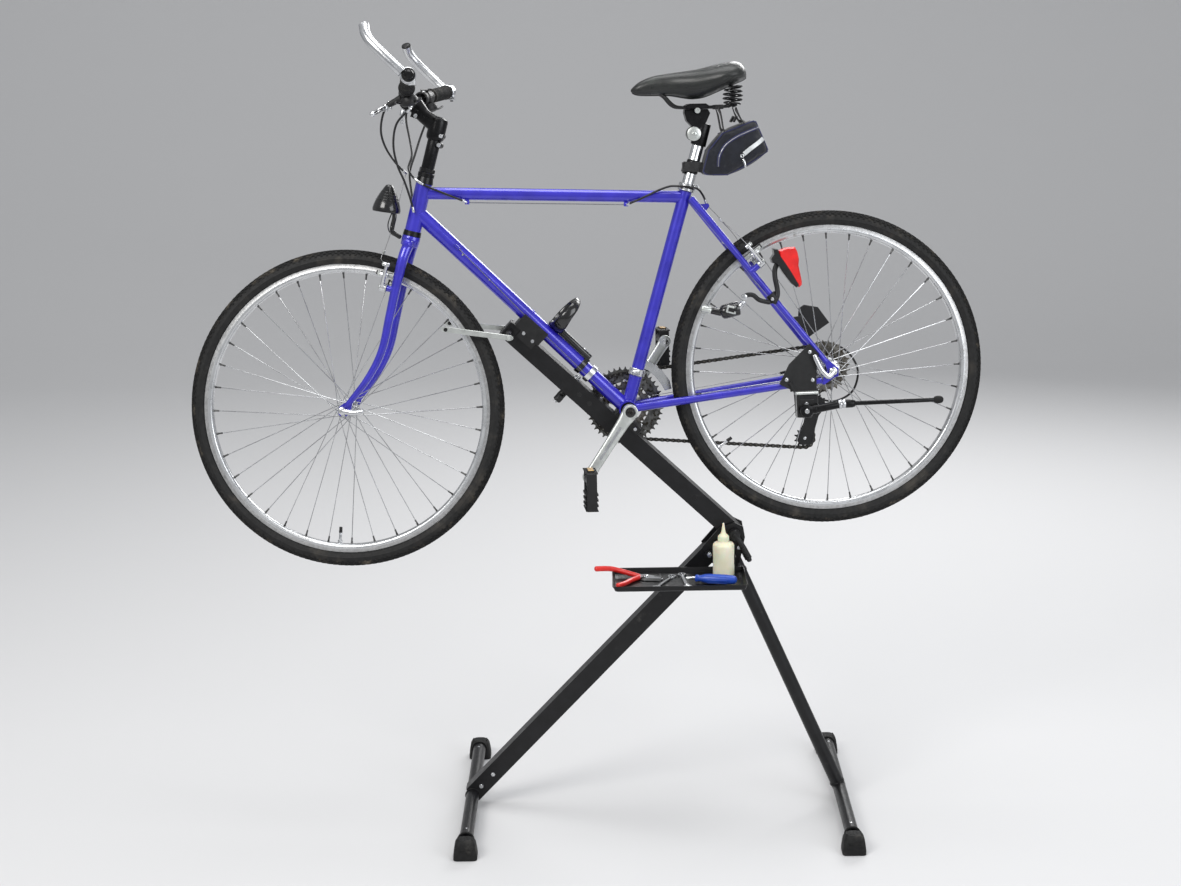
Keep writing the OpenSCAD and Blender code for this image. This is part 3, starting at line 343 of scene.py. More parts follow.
SCR = (40, 40, 400)
blue = mat("blue_gloss_paint", (0.017, 0.012, 0.36), (0.027, 0.020, 0.47), rough=(0.26, 0.38), metal=0.25, coat=1.0, coat_rough=0.05, scale=25,
           bumps=[("noise", 260, 0.00012), ("noise", 1400, 0.00003)], wear=((0.09, 0.10, 0.50), 5, 0.66, 0.80, (1, 1, 1)), dust=((0.10, 0.10, 0.30), 90, 0.70, 0.86))
steel_black = mat("black_powder_coat", (0.003, 0.003, 0.0035), (0.006, 0.006, 0.007), rough=(0.34, 0.48), coat=0.12, coat_rough=0.20, spec=0.35, scale=40,
                  bumps=[("noise", 900, 0.00025), ("noise", 240, 0.0002)], wear=((0.10, 0.10, 0.10), 9, 0.72, 0.80, (1, 1, 6)), dust=((0.05, 0.048, 0.045), 30, 0.62, 0.85))
plastic_black = mat("black_moulded_plastic", (0.004, 0.004, 0.0045), (0.008, 0.008, 0.0085), rough=(0.38, 0.55), scale=70,
                    bumps=[("noise", 1500, 0.00018), ("cell", 900, 0.00006)], dust=((0.06, 0.058, 0.055), 45, 0.62, 0.86))
plastic_gloss = mat("black_gloss_plastic", (0.003, 0.003, 0.0035), (0.006, 0.006, 0.0065), rough=(0.16, 0.28), coat=0.5, scale=60,
                    bumps=[("noise", 500, 0.00008)], dust=((0.05, 0.05, 0.05), 60, 0.66, 0.9))
alloy_black = mat("black_anodised_alloy", (0.006, 0.006, 0.0065), (0.012, 0.012, 0.013), rough=(0.24, 0.38), metal=0.6, scale=80,
                  bumps=[("noise", 900, 0.00008)], wear=((0.28, 0.28, 0.29), 22, 0.70, 0.78, (1, 1, 3)))
rubber = mat("black_rubber", (0.005, 0.005, 0.005), (0.010, 0.010, 0.010), rough=(0.62, 0.80), scale=90, spec=0.35,
             bumps=[("noise", 1200, 0.0003), ("noise", 160, 0.0003)], dust=((0.075, 0.07, 0.062), 26, 0.55, 0.85))
tyre_side = mat("tyre_sidewall", (0.005, 0.005, 0.005), (0.010, 0.010, 0.010), rough=(0.55, 0.72), scale=120, spec=0.4,
                bumps=[("noise", 1500, 0.0002), ("noise", 300, 0.0002)], dust=((0.06, 0.052, 0.042), 18, 0.50, 0.85))
tyre_tread = mat("tyre_tread", (0.005, 0.005, 0.005), (0.012, 0.012, 0.012), rough=(0.68, 0.88), scale=150, spec=0.3,
                 bumps=[("noise", 1800, 0.0004), ("cell", 700, 0.0002)], dust=((0.10, 0.085, 0.065), 30, 0.52, 0.80))
silver = mat("polished_alloy", (0.70, 0.71, 0.72), (0.56, 0.57, 0.59), rough=(0.16, 0.32), metal=1.0, scale=30,
             bumps=[("noise", 700, 0.00008)], wear=((0.36, 0.36, 0.37), 26, 0.66, 0.80, (1, 1, 4)))
silver_satin = mat("satin_alloy", (0.50, 0.52, 0.50), (0.62, 0.64, 0.62), rough=(0.30, 0.46), metal=0.85, scale=50,
                   bumps=[("noise", 1400, 0.00012)], wear=((0.30, 0.31, 0.30), 30, 0.64, 0.80, (2, 1, 1)))
rim_m = mat("anodised_rim", (0.66, 0.67, 0.68), (0.54, 0.55, 0.56), rough=(0.22, 0.36), metal=0.9, scale=22, coat=0.2,
            bumps=[("noise", 1200, 0.0001)], dust=((0.22, 0.20, 0.17), 40, 0.60, 0.85))
track_m = mat("brake_track", (0.52, 0.52, 0.52), (0.40, 0.40, 0.40), rough=(0.26, 0.44), metal=0.95, scale=140, coat=0.0,
              bumps=[("noise", 2500, 0.0001)], wear=((0.16, 0.16, 0.16), 60, 0.60, 0.78, (1, 1, 1)))
spoke_m = mat("stainless_spoke", (0.60, 0.61, 0.62), (0.40, 0.40, 0.41), rough=(0.18, 0.34), metal=1.0, scale=14,
              bumps=[("noise", 900, 0.00004)])
nipple_m = mat("brass_nipple", (0.05, 0.05, 0.05), (0.12, 0.12, 0.12), rough=(0.34, 0.5), metal=0.9, scale=90, bumps=[("noise", 900, 0.00008)])
chrome = mat("chromed_steel", (0.74, 0.75, 0.76), (0.60, 0.61, 0.62), rough=(0.06, 0.18), metal=1.0, scale=40,
             bumps=[("noise", 500, 0.00005)], wear=((0.30, 0.29, 0.28), 50, 0.68, 0.80, (1, 1, 1)))
chain_m = mat("oily_chain_steel", (0.022, 0.021, 0.020), (0.07, 0.068, 0.064), rough=(0.28, 0.50), metal=0.9, scale=160,
              bumps=[("noise", 900, 0.0001)], dust=((0.02, 0.016, 0.012), 220, 0.5, 0.7))
cog_m = mat("worn_sprocket_steel", (0.10, 0.095, 0.085), (0.22, 0.21, 0.19), rough=(0.28, 0.48), metal=0.9, scale=70,
            bumps=[("noise", 900, 0.0001)], dust=((0.045, 0.035, 0.022), 110, 0.46, 0.66))
ring_m = mat("worn_chainring_alloy", (0.07, 0.07, 0.068), (0.20, 0.20, 0.19), rough=(0.28, 0.46), metal=0.9, scale=80,
             bumps=[("noise", 900, 0.0001)], dust=((0.03, 0.026, 0.018), 120, 0.48, 0.64))
cable_m = mat("cable_housing", (0.004, 0.004, 0.0045), (0.009, 0.009, 0.010), rough=(0.28, 0.42), scale=120, bumps=[("noise", 800, 0.00006)])
wire_m = mat("steel_cable_wire", (0.42, 0.42, 0.42), (0.24, 0.24, 0.24), rough=(0.28, 0.45), metal=1.0, scale=600, bumps=[("noise", 4000, 0.0001)])
red_plastic = mat("red_dipped_grip", (0.55, 0.010, 0.008), (0.68, 0.022, 0.014), rough=(0.30, 0.46), coat=0.2, scale=60, sss=0.05,
                  bumps=[("noise", 500, 0.0002)], dust=((0.20, 0.02, 0.02), 70, 0.6, 0.8))
red_lens = mat("red_lamp_lens", (0.62, 0.004, 0.004), (0.80, 0.010, 0.008), rough=(0.08, 0.16), coat=1.0, scale=40, sss=0.15,
               bumps=[("cell", 380, 0.0005)])
amber = mat("amber_reflector", (0.72, 0.36, 0.02), (0.80, 0.48, 0.05), rough=(0.10, 0.2), coat=1.0, scale=60, bumps=[("cell", 600, 0.0006)])
blue_plastic = mat("blue_tool_handle", (0.010, 0.050, 0.36), (0.016, 0.075, 0.46), rough=(0.28, 0.42), coat=0.2, scale=60, bumps=[("noise", 600, 0.0002)],
                   dust=((0.02, 0.03, 0.12), 60, 0.6, 0.8))
ivory = mat("ivory_bottle_plastic", (0.74, 0.71, 0.52), (0.82, 0.80, 0.64), rough=(0.32, 0.46), scale=24, sss=0.35, spec=0.45,
            bumps=[("noise", 300, 0.0002)], dust=((0.46, 0.42, 0.28), 50, 0.62, 0.84))
clear = mat("clear_lens", (0.70, 0.72, 0.74), (0.80, 0.82, 0.84), rough=(0.05, 0.12), metal=0.5, coat=1.0, scale=30, bumps=[("cell", 260, 0.0006)])
vinyl = mat("saddle_vinyl", (0.004, 0.005, 0.0045), (0.008, 0.010, 0.009), rough=(0.26, 0.42), coat=0.25, coat_rough=0.25, scale=26,
            bumps=[("leather", 520, 0.00035), ("noise", 90, 0.0006), ("noise", 2200, 0.0001)], dust=((0.06, 0.07, 0.06), 16, 0.58, 0.85))
nylon = mat("bag_nylon", (0.003, 0.004, 0.009), (0.006, 0.008, 0.016), rough=(0.58, 0.74), scale=50, sheen=0.25, spec=0.35,
            bumps=[("x", 420, 0.00028), ("z", 420, 0.00028), ("noise", 60, 0.0010)], dust=((0.05, 0.05, 0.055), 40, 0.58, 0.85))
nylon_blue = mat("bag_piping", (0.012, 0.014, 0.070), (0.020, 0.024, 0.11), rough=(0.5, 0.65), scale=70, sheen=0.25,
                 bumps=[("x", 600, 0.0002), ("z", 600, 0.0002)])
strap_m = mat("webbing_strap", (0.008, 0.008, 0.009), (0.018, 0.018, 0.019), rough=(0.6, 0.78), scale=80, sheen=0.2,
              bumps=[("x", 500, 0.0003), ("z", 700, 0.0003)])
reflect = mat("reflective_tape", (0.52, 0.54, 0.55), (0.62, 0.64, 0.65), rough=(0.32, 0.46), metal=0.3, scale=80, bumps=[("cell", 1400, 0.0002)])

# ------------------------------------------------------------------ wheels
def torus_pt(th, a, r, R0=331.0):
    R = R0 + r * np.cos(a)
    return np.stack([R * np.cos(th), r * np.sin(a), R * np.sin(th)], -1)

def tyre(name, place, body, node):
    m = Mesh(place)
    outer = [(math.radians(a), 17.55 + (0.55 if abs(abs(a) - 92) < 3 else 0) + (0.5 if abs(abs(a) - 124) < 3 else 0)) for a in
             (-131, -127, -124, -121, -112, -102, -95, -92, -89, -80, -70, -58, -46, -32, -16, 0, 16, 32, 46, 58, 70, 80, 89, 92, 95, 102, 112, 121, 124, 127, 131)]
    inner = [(math.radians(a), 15.0) for a in (129, 110, 80, 40, 0, -40, -80, -110, -129)]
    prof = outer + inner
    k = len(prof)
    mats = [0 if abs(math.degrees(prof[j][0])) > 66 or j >= len(outer) - 1 else 1 for j in range(k)]
    n = 150
    rs = [torus_pt(np.full(k, 2 * math.pi * i / n), np.array([p[0] for p in prof]), np.array([p[1] for p in prof])) for i in range(n)]
    m.rings(rs, mats, loop=True)
    faces = [[0, 1, 2, 3], [4, 7, 6, 5], [0, 4, 5, 1], [1, 5, 6, 2], [2, 6, 7, 3], [3, 7, 4, 0]]
    rows = [(-8, 6.2, 4.2, 19.0, 0.0, 2.6), (8, 6.2, 4.2, 19.0, 0.5, -2.6), (-25, 5.4, 4.4, 18.95, 0.5, -2.0), (25, 5.4, 4.4, 18.95, 0.0, 2.0),
            (-43, 6.6, 4.0, 18.9, 0.0, 1.6), (43, 6.6, 4.0, 18.9, 0.5, -1.6), (-60, 5.6, 4.4, 18.9, 0.5, 0.0), (60, 5.6, 4.4, 18.9, 0.0, 0.0)]
    nk = 168
    for a0, ln, wd, top, ph, skew in rows:
        th0 = 2 * math.pi * (np.arange(nk) + ph) / nk
        vs = []
        for s, r in ((1.0, 17.0), (0.8, top)):
            for sx, sy in ((-1, -1), (1, -1), (1, 1), (-1, 1)):
                a = math.radians(a0) + sy * s * wd / 2 / 18.0
                th = th0 + (sx * s * ln / 2 + skew * sy * 0.5) / 348.0
                vs.append(torus_pt(th, np.full(nk, a), np.full(nk, r)))
        V = np.stack(vs, 1).reshape(-1, 3)
        m.add(V, [[q + 8 * i for q in f] for i in range(nk) for f in faces], 1)
    return make(name, m, body, [tyre_side, tyre_tread], rep=(node,), angle=30)

def rim(name, place, body, node, valve_deg):
    m = Mesh(place)
    pr = [(300.2, -3.5), (300.6, -5.5), (303, -10), (305, -11.2), (310.6, -12), (311.2, -11.75), (318.5, -11.75), (319, -11.4), (318.5, -10.4), (310, -8),
          (309.4, 0), (310, 8), (318.5, 10.4), (319, 11.4), (318.5, 11.75), (311.2, 11.75), (310.6, 12), (305, 11.2), (303, 10), (300.6, 5.5), (300.2, 3.5), (299.9, 0)]
    k = len(pr)
    mats = [1 if j in (5, 14) else 0 for j in range(k)]
    n = 168
    rs = []
    for i in range(n):
        t = 2 * math.pi * i / n
        rs.append(np.array([[r * math.cos(t), y, r * math.sin(t)] for r, y in pr]))
    m.rings(rs, mats, loop=True)
    # valve stem with its collar and cap
    t = math.radians(valve_deg)
    d = vec(math.cos(t), 0, math.sin(t))
    m.rod(d * 300.5, d * 294, 5.2, mat=2, n=18)
    m.rod(d * 296, d * 276, 3.2, mat=2, n=16)
    m.rod(d * 277, d * 264, 3.9, 3.5, mat=3, n=16)
    # pinned joint of the rim, a thin line across it opposite the valve
    for s in (-1, 1):
        m.box(-d * 307 + Y_ * s * 11.9, (14, 0.5, 0.7), b=0.1, mat=1, R=rotm(Y_, -valve_deg))
    return make(name, m, body, [rim_m, track_m, silver, plastic_black], rep=(node,), angle=32)

def spokes(name, place, body, node, fl, fr, rf):
    m = Mesh(place)
    for k in range(36):
        s = -1 if k % 2 == 0 else 1
        w = -1 if (k // 2) % 2 == 0 else 1
        a = math.radians(10 * k)
        b = a + w * math.radians(58)
        yf = fl if s < 0 else fr
        y = yf + w * 3.2
        p = vec(rf * math.cos(b), y, rf * math.sin(b))
        q = vec(299.6 * math.cos(a), s * 1.5, 299.6 * math.sin(a))
        d = unit(q - p)
        m.tube([p, p + d * 20, p + (q - p) * 0.5, q], [1.05, 0.92, 0.92, 1.0], 8, 0)
        # elbow and head through the flange
        hc = vec(rf * math.cos(b), yf, rf * math.sin(b))
        m.tube([p + d * 1.0, p, (p + hc) / 2, hc - Y_ * w * 1.9], 1.05, 8, 0)
        m.ball(hc - Y_ * w * 2.6, 1.9, 10, 0, (1, 0.55, 1))
        # nipple
        m.lathe(q - d * 12.5, d, [(1.1, 0), (1.75, 0.4), (1.9, 1.2), (1.9, 8), (2.6, 11.6), (2.6, 13.2)], 10, 1)
    return make(name, m, body, [spoke_m, nipple_m], rep=(node,), angle=40)

def hub(name, place, body, node, fl, fr, rf, rb, bore):
    m = Mesh(place)
    L = fr - fl
    pr = [(bore + 0.4, fl - 7.5), (rb * 0.92, fl - 7.5), (rb, fl - 6.5), (rb, fl - 2.6), (rf - 3, fl - 2.2), (rf + 2.6, fl - 1.5), (rf + 3, fl - 1.0), (rf + 3, fl + 1.0), (rf + 2.6, fl + 1.5),
          (rf - 3, fl + 2.4), (rb + 0.5, fl + 6), (rb - 1.6, fl + L * 0.25), (rb - 2, 0.5 * (fl + fr)), (rb - 1.6, fr - L * 0.25), (rb + 0.5, fr - 6), (rf - 3, fr - 2.4), (rf + 2.6, fr - 1.5),
          (rf + 3, fr - 1.0), (rf + 3, fr + 1.0), (rf + 2.6, fr + 1.5), (rf - 3, fr + 2.2), (rb, fr + 2.6), (rb, fr + 6.5), (rb * 0.92, fr + 7.5), (bore + 0.4, fr + 7.5)]
    m.lathe(vec(0, 0, 0), Y_, pr, 48, 0, loop=True)
    for k in range(3):
        m.ring(vec(0, 0, 0), Y_, rb - 1.9, rb - 0.6, 0.5 * (fl + fr) - 5 + k * 4, 0.5 * (fl + fr) - 3.4 + k * 4, 40, 0.2, 0)
    # dust caps
    for y0, y1 in ((fl - 9.5, fl - 7.4), (fr + 7.4, fr + 9.5)):
        m.ring(vec(0, 0, 0), Y_, bore + 0.3, rb * 0.8, y0, y1, 36, 0.4, 1)
    return make(name, m, body, [silver, plastic_black], rep=(node,), angle=30)

pf = lambda p: steer(np.asarray(p, float) + HUBF)
pr_ = lambda p: bike(np.asarray(p, float) + HUBR)
tyre("tyre_front", pf, "front_wheel", "front_tyre")
tyre("tyre_rear", pr_, "rear_wheel", "rear_tyre")
rim("rim_front", pf, "front_wheel", "front_rim", 265)
rim("rim_rear", pr_, "rear_wheel", "rear_rim", 215)
spokes("spokes_front", pf, "front_wheel", "front_spokes", -29, 29, 17)
spokes("spokes_rear", pr_, "rear_wheel", "rear_spokes", -34, 17, 20)
hub("hub_front", pf, "front_wheel", "front_hub", -29, 29, 17, 11, 4.55)
hub("hub_rear", pr_, "rear_wheel", "rear_hub", -34, 17, 20, 15, 5.05)

# ------------------------------------------------------------------ drive
def sprocket_outline(t, r, tip=2.6, root=3.6, ph=0.0):
    out = []
    for k in range(t):
        a = 2 * math.pi * (k + ph) / t
        s = 2 * math.pi / t
        for f, q in ((-0.30, root), (-0.17, 1.2), (-0.07, -tip), (0.07, -tip), (0.17, 1.2), (0.30, root), (0.5, root + 0.5)):
            rr = r - q
            out.append([rr * math.cos(a + f * s), rr * math.sin(a + f * s)])
    return out
def sprocket(m, c, t, r, y0, y1, rin, mat=0, ph=0.0, tip=2.6, root=3.6, b=0.35):
    P = np.array(sprocket_outline(t, r, tip, root, ph))
    n = len(P)
    a = np.arctan2(P[:, 1], P[:, 0])
    I = np.stack([np.cos(a), np.sin(a)], 1) * rin
    def at(S, y):
        return np.stack([c[0] + S[:, 0], np.full(n, c[1] + y), c[2] + S[:, 1]], 1)
    Q = P * (1 - b * 1.2 / r)
    m.rings([at(I, y0), at(Q, y0), at(P, y0 + b), at(P, y1 - b), at(Q, y1), at(I, y1)], mat, loop=True)

def tang(a, b):
    d = (b[0] - a[0], b[1] - a[1])
    l = math.hypot(*d)
    return math.atan2(d[1], d[0]) - math.acos((a[2] - b[2]) / l)
def arc(c, b0, b1, n):
    s = 1 if c[2] > 0 else -1
    d = ((b1 - b0) * s) % (2 * math.pi)
    return [vec(c[0] + c[2] * math.cos(b0 + s * d * k / n), c[3], c[1] + c[2] * math.sin(b0 + s * d * k / n)) for k in range(n + 1)]
RR, CR = 6.35 / math.sin(math.pi / 36), 6.35 / math.sin(math.pi / 24)
LO, UP = (404, -84), (432, -8)
LC = [(0, 0, RR, 47), (LO[0], LO[1], 22.2, 35), (UP[0], UP[1], -22.2, 35), (450, 78, CR, 35)]
loop = []
for i in range(4):
    loop += arc(LC[i], tang(LC[i - 1], LC[i]), tang(LC[i], LC[(i + 1) % 4]), 40 if i in (0, 3) else 24)
loop = np.array(loop)
seg = np.linalg.norm(np.roll(loop, -1, 0) - loop, axis=1)
cum = np.concatenate([[0], np.cumsum(seg)])
links = 2 * int(round(cum[-1] / 12.7 / 2))
closed = np.vstack([loop, loop[:1]])
def on_loop(s):
    s = s % cum[-1]
    return np.array([np.interp(s, cum, closed[:, j]) for j in range(3)])
m = Mesh(bike)
pins = [on_loop(cum[-1] * k / links) for k in range(links)]
for k in range(links):
    p, q = pins[k], pins[(k + 1) % links]
    d = q - p
    d[1] = 0
    u = unit(d)
    w = np.cross(u, Y_) * -1
    L = np.linalg.norm(q - p)
    o = (p + q) / 2
    outer = k % 2 == 0
    hw, wl = (4.15, 2.9) if outer else (4.1, 2.8)
    P = []
    for s in (1, -1):
        for t in (-100, -60, -20, 20, 60, 100):
            t = math.radians(t)
            P.append([s * (L / 2 + hw * math.cos(t)), s * hw * math.sin(t)])
        P.append([0, s * wl])
    for y0 in ((-3.35, 2.45) if outer else (-2.3, 1.4)):
        m.slab(P, y0, y0 + 0.9, 0.2, 0, o=o, ax=(u, w, Y_))
    m.lathe(p - Y_ * 1.35, Y_, [(3.85, 0), (3.85, 2.7)], 12, 1)
    m.lathe(p - Y_ * 3.9, Y_, [(1.7, 0), (1.8, 0.3), (1.8, 7.5), (1.7, 7.8)], 8, 1)
make("chain_links", m, "boom", [chain_m, cog_m], rep=("chain",), angle=30)

m = Mesh(bike)
for k, n in enumerate((28, 24, 21, 19, 17, 15, 13)):
    r = 6.35 / math.sin(math.pi / n)
    y = 29 + 5 * k
    sprocket(m, vec(450, 0, 78), n, r, y, y + 1.9, 17.5 if k > 2 else r - 15, 0, ph=0.25, tip=2.4)
    if k <= 2:        # spider arms inside the big sprockets
        for j in range(7):
            a = 2 * math.pi * j / 7 + 0.3 * k
            d = vec(math.cos(a), 0, math.sin(a))
            R = rotm(Y_, -math.degrees(a))
            m.box(vec(450, y + 0.95, 78) + d * ((17 + r - 14) / 2), (r - 14 - 15, 1.7, 8), 0.3, 0, R)
    if k < 6:
        m.ring(vec(450, y + 1.9, 78), Y_, 17.2, 20.5, 0, 3.1, 32, 0.2, 1)
m.ring(vec(450, 0, 78), Y_, 5.3, 17.4, 24.8, 60.5, 36, 0.4, 1)
m.ring(vec(450, 0, 78), Y_, 6, 15.5, 60.6, 62.2, 36, 0.5, 2)
make("sprocket_stack", m, "cassette", [cog_m, chain_m, silver], rep=("cassette",), angle=30)

m = Mesh(bike)
sprocket(m, vec(0, 0, 0), 26, 6.35 / math.sin(math.pi / 26), 39, 41, 38, 1, ph=0.1)
sprocket(m, vec(0, 0, 0), 36, RR, 46, 48, 54, 0, ph=0.0)
sprocket(m, vec(0, 0, 0), 42, 84.98, 53, 55, 64, 0, ph=0.3)
for k in range(5):
    a = math.radians(90 + k * 72)
    d = vec(-math.sin(a - math.pi / 2), 0, math.cos(a - math.pi / 2))
    for rr in (46.5,):
        m.box(d * 46 + Y_ * 40, (9, 1.9, 18), 0.4, 1, rotm(Y_, -math.degrees(a - math.pi / 2)))
    # ring bolts and their sleeves
    m.rod(d * 55 + Y_ * 41, d * 55 + Y_ * 57.5, 5.0, mat=2, n=20)
    m.bolt(d * 55 + Y_ * 57.4, Y_, 5.2, 2.2, 2)
    m.box(d * 64 + Y_ * 54, (12, 1.8, 20), 0.3, 0, rotm(Y_, -math.degrees(a - math.pi / 2)))
    m.box(d * 52 + Y_ * 47, (12, 1.8, 12), 0.3, 0, rotm(Y_, -math.degrees(a - math.pi / 2)))
    # shifting pins
    m.rod(d * 74 + Y_ * 51.2, d * 74 + Y_ * 53.2, 1.6, mat=2, n=12)
make("ring_set", m, "crankset", [ring_m, cog_m, silver], rep=("chainrings",), angle=30)

def beam(m, pts, wid, thk, ref, n=28, power=3.2, mat=0):
    pts = [np.asarray(p, float) for p in pts]
    rs = []
    for i, p in enumerate(pts):
        t = unit(pts[min(i + 1, len(pts) - 1)] - pts[max(i - 1, 0)])
        a = unit(np.cross(ref, t))
        b = unit(ref - np.dot(ref, t) * t)
        th = (np.arange(n) + 0.5) * 2 * math.pi / n
        c, s = np.cos(th), np.sin(th)
        c, s = np.sign(c) * np.abs(c) ** (2 / power), np.sign(s) * np.abs(s) ** (2 / power)
        rs.append(p + c[:, None] * a * wid[i] / 2 + s[:, None] * b * thk[i] / 2)
    m.rings(rs, mat)

m = Mesh(bike)
m.rod(vec(0, -66, 0), vec(0, 66, 0), 8.4, mat=1)
for s in (-1, 1):
    d = CA * (-s)
    y0, y1 = (-70, -73.5) if s < 0 else (68, 71.5)
    ls = [0, 14, 24, 60, 100, 140, 156, 166, 170]
    pts = [d * l + Y_ * (y0 + (y1 - y0) * min(1, l / 150)) for l in ls]
    wid = [33, 33, 29, 26, 24.5, 24, 25, 26, 26]
    thk = [15.5, 15.5, 15, 13.6, 12.6, 12.4, 12.6, 12.8, 12.8]
    beam(m, pts, wid, thk, Y_)
    # boss on the axle, with its dust cap, and the eye for the pedal
    yo = s * 78.2 if s < 0 else 76.4
    yi = s * 62 if s < 0 else 60
    m.rod(vec(0, yi, 0), vec(0, yo, 0), 17.2, 16.8, 40, 1.2)
    m.ring(vec(0, yo, 0), Y_ * s, 11.6, 15.2, -1, 0.9, 40, 0.4, 0)
    m.rod(vec(0, yo - s * 1.4, 0), vec(0, yo + s * 0.2, 0), 11.4, mat=2, n=32)
    m.lathe(vec(0, yo, 0), Y_ * s, [(6.6, 0), (6.6, 1.0), (5.8, 1.5), (3.4, 1.5), (3.4, 0.4), (0.1, 0.4)], 28, 1)
    m.rod(d * 170 + Y_ * (-80 if s < 0 else 65), d * 170 + Y_ * (-67 if s < 0 else 78), 13, 13, 36, 1.2)
    # shallow groove down the outer face
    m.box(d * 85 + Y_ * (s * 78.6 if s < 0 else 76.2), (6, 1.0, 92), 0.4, 3, np.stack([np.cross(Y_, d), Y_, d], 1))
for k in range(5):
    a = math.radians(90 + k * 72) - math.pi / 2
    d = vec(-math.sin(a), 0, math.cos(a))
    beam(m, [d * 12 + Y_ * 60, d * 30 + Y_ * 59.6, d * 50 + Y_ * 59.4, d * 61 + Y_ * 59.2], [20, 14, 13, 15], [6, 5, 4.6, 4.4], Y_, 16)
m.rod(vec(0, 45, 0), vec(0, 61, 0), 18, 18, 36, 0.8)
make("crank_pair", m, "crankset", [silver_satin, chain_m, plastic_gloss, silver], rep=("crank_arms",), angle=34)

def pedal(name, s, body, node):
    m = Mesh(bike)
    c = -s * CA * 170
    def P(x, y, z):
        return vec(c[0] + x, s * y, c[2] + z)
    m.rod(P(0, 62 if s > 0 else 62, 0), P(0, 90, 0), 6.6, mat=1)
    m.rod(P(0, 80, 0), P(0, 86, 0), 8.6, mat=1, n=6, b=0.4)
    # barrel with its dust cap
    m.lathe(P(0, 88, 0), Y_ * s, [(9, 0), (11.5, 2), (11.8, 8), (10, 18), (9.4, 40), (10, 62), (11.8, 74), (11.5, 80), (8, 83), (2, 84)], 28, 0)
    # cage: two long plates with teeth, and ends
    for zc, zh in ((-60, 5), (22, 5)):
        pts = []
        for k in range(12):
            y = -42 + 7 * k
            pts += [[y, 13.5], [y + 2.2, 13.5], [y + 3.6, 10.8], [y + 5.6, 10.8]]
        pts = [p for p in pts] + [[-p[0], -p[1]] for p in pts]
        m.slab(pts, -1.3, 1.3, 0.3, 0, o=P(0, 130, zc), ax=(Y_, X_, Z_))
    for yy in (87.5, 172):
        m.box(P(0, yy, -19), (22, 3.2, 82), 0.8, 0)
    for yy in (101, 130, 158):
        m.box(P(0, yy, -41), (9, 4, 37), 0.8, 0)
        m.box(P(0, yy, 16), (9, 4, 11), 0.8, 0)
    # studded rubber treads
    for zz in (-50, -38, -26):
        for sx in (-1, 1):
            m.box(P(sx * 11.5, 130, zz), (5.5, 70, 4.2), 0.8, 0)
    # reflectors in their holders
    for zc, sg in ((-61, -1), (23, 1)):
        m.box(P(0, 130, zc + sg * 0.6), (15, 46, 5.0), 0.8, 0)
        m.box(P(0, 130, zc + sg * 2.6), (12, 42, 2.6), 0.5, 2)
    return make(name, m, body, [plastic_black, silver, amber], rep=(node,), angle=34)
pedal("pedal_cage_left", -1, "pedal_left", "pedal_left")
pedal("pedal_cage_right", 1, "pedal_right", "pedal_right")

# derailleurs: rear cage with its pulleys and parallelogram, front clamp and cage
m = Mesh(bike)
m.slab([[448, 62], [458, 60], [461, 50], [452, 34], [441, 14], [437, -4], [428, -6], [423, 4], [430, 30], [438, 50]], 73, 83.5, 2.5, 0)
m.box(vec(440, 84.3, 22), (12, 1.8, 36), 0.6, 3, rotm(Y_, 24))
m.rod(vec(453, 70.6, 54), vec(453, 86, 54), 8, mat=2)
m.bolt(vec(453, 86, 54), Y_, 6.5, 2.4, 2)
m.rod(vec(432, 60, -6), vec(432, 74, -6), 10.5, mat=0)
m.rod(vec(432, 43, -8), vec(432, 62, -8), 9.2, mat=0)
m.bolt(vec(446, 83, 8), vec(0.6, 0.5, 0.3), 2.6, 6, 2, False)
cage = [[440, 10], [450, 2], [452, -14], [436, -34], [428, -62], [424, -92], [414, -100], [394, -99], [386, -88], [392, -74], [404, -50], [410, -18], [420, 8]]
for y0 in (27.2, 40.7):
    m.slab(cage, y0, y0 + 2.2, 0.4, 0)
for p in (UP, LO):
    m.rod(vec(p[0], 26, p[1]), vec(p[0], 44.4, p[1]), 3.6, mat=2)
    sprocket(m, vec(p[0], 0, p[1]), 11, 22.4, 33.6, 36.4, 4.2, 0, tip=1.0, root=5.2)
m.ring(ST * 76, ST, 14.5, 18.2, 0, 16, 48, 0.8, 2)
m.box(ST * 84 + vec(-4, -18.5, 0), (16, 9, 10), 0.8, 2)
m.bolt(ST * 84 + vec(-4, -23, 0), -Y_, 3.6, 2.6, 2)
m.box(vec(32, 26, 84), (20, 26, 13), 1.5, 2)
m.box(vec(33, 37, 88), (16, 8, 20), 1.5, 2)
fd = [[30, 87], [52, 79], [68, 65], [84, 44], [90, 32], [105, 36], [101, 54], [84, 78], [60, 96], [34, 106]]
m.slab(fd, 40.8, 42, 0.3, 2)
m.slab(fd, 51.2, 52.4, 0.3, 2)
m.slab([[26, 82], [44, 90], [48, 99], [32, 103]], 36, 40.8, 0.6, 2)
m.box(vec(50, 46.5, 95.5), (12, 11, 5), 0.6, 2)
m.box(vec(97, 46.5, 40), (6, 11, 5), 0.6, 2)
make("derailleur_pair", m, "boom", [plastic_gloss, silver, silver, silver_satin], rep=("derailleurs",), angle=34)

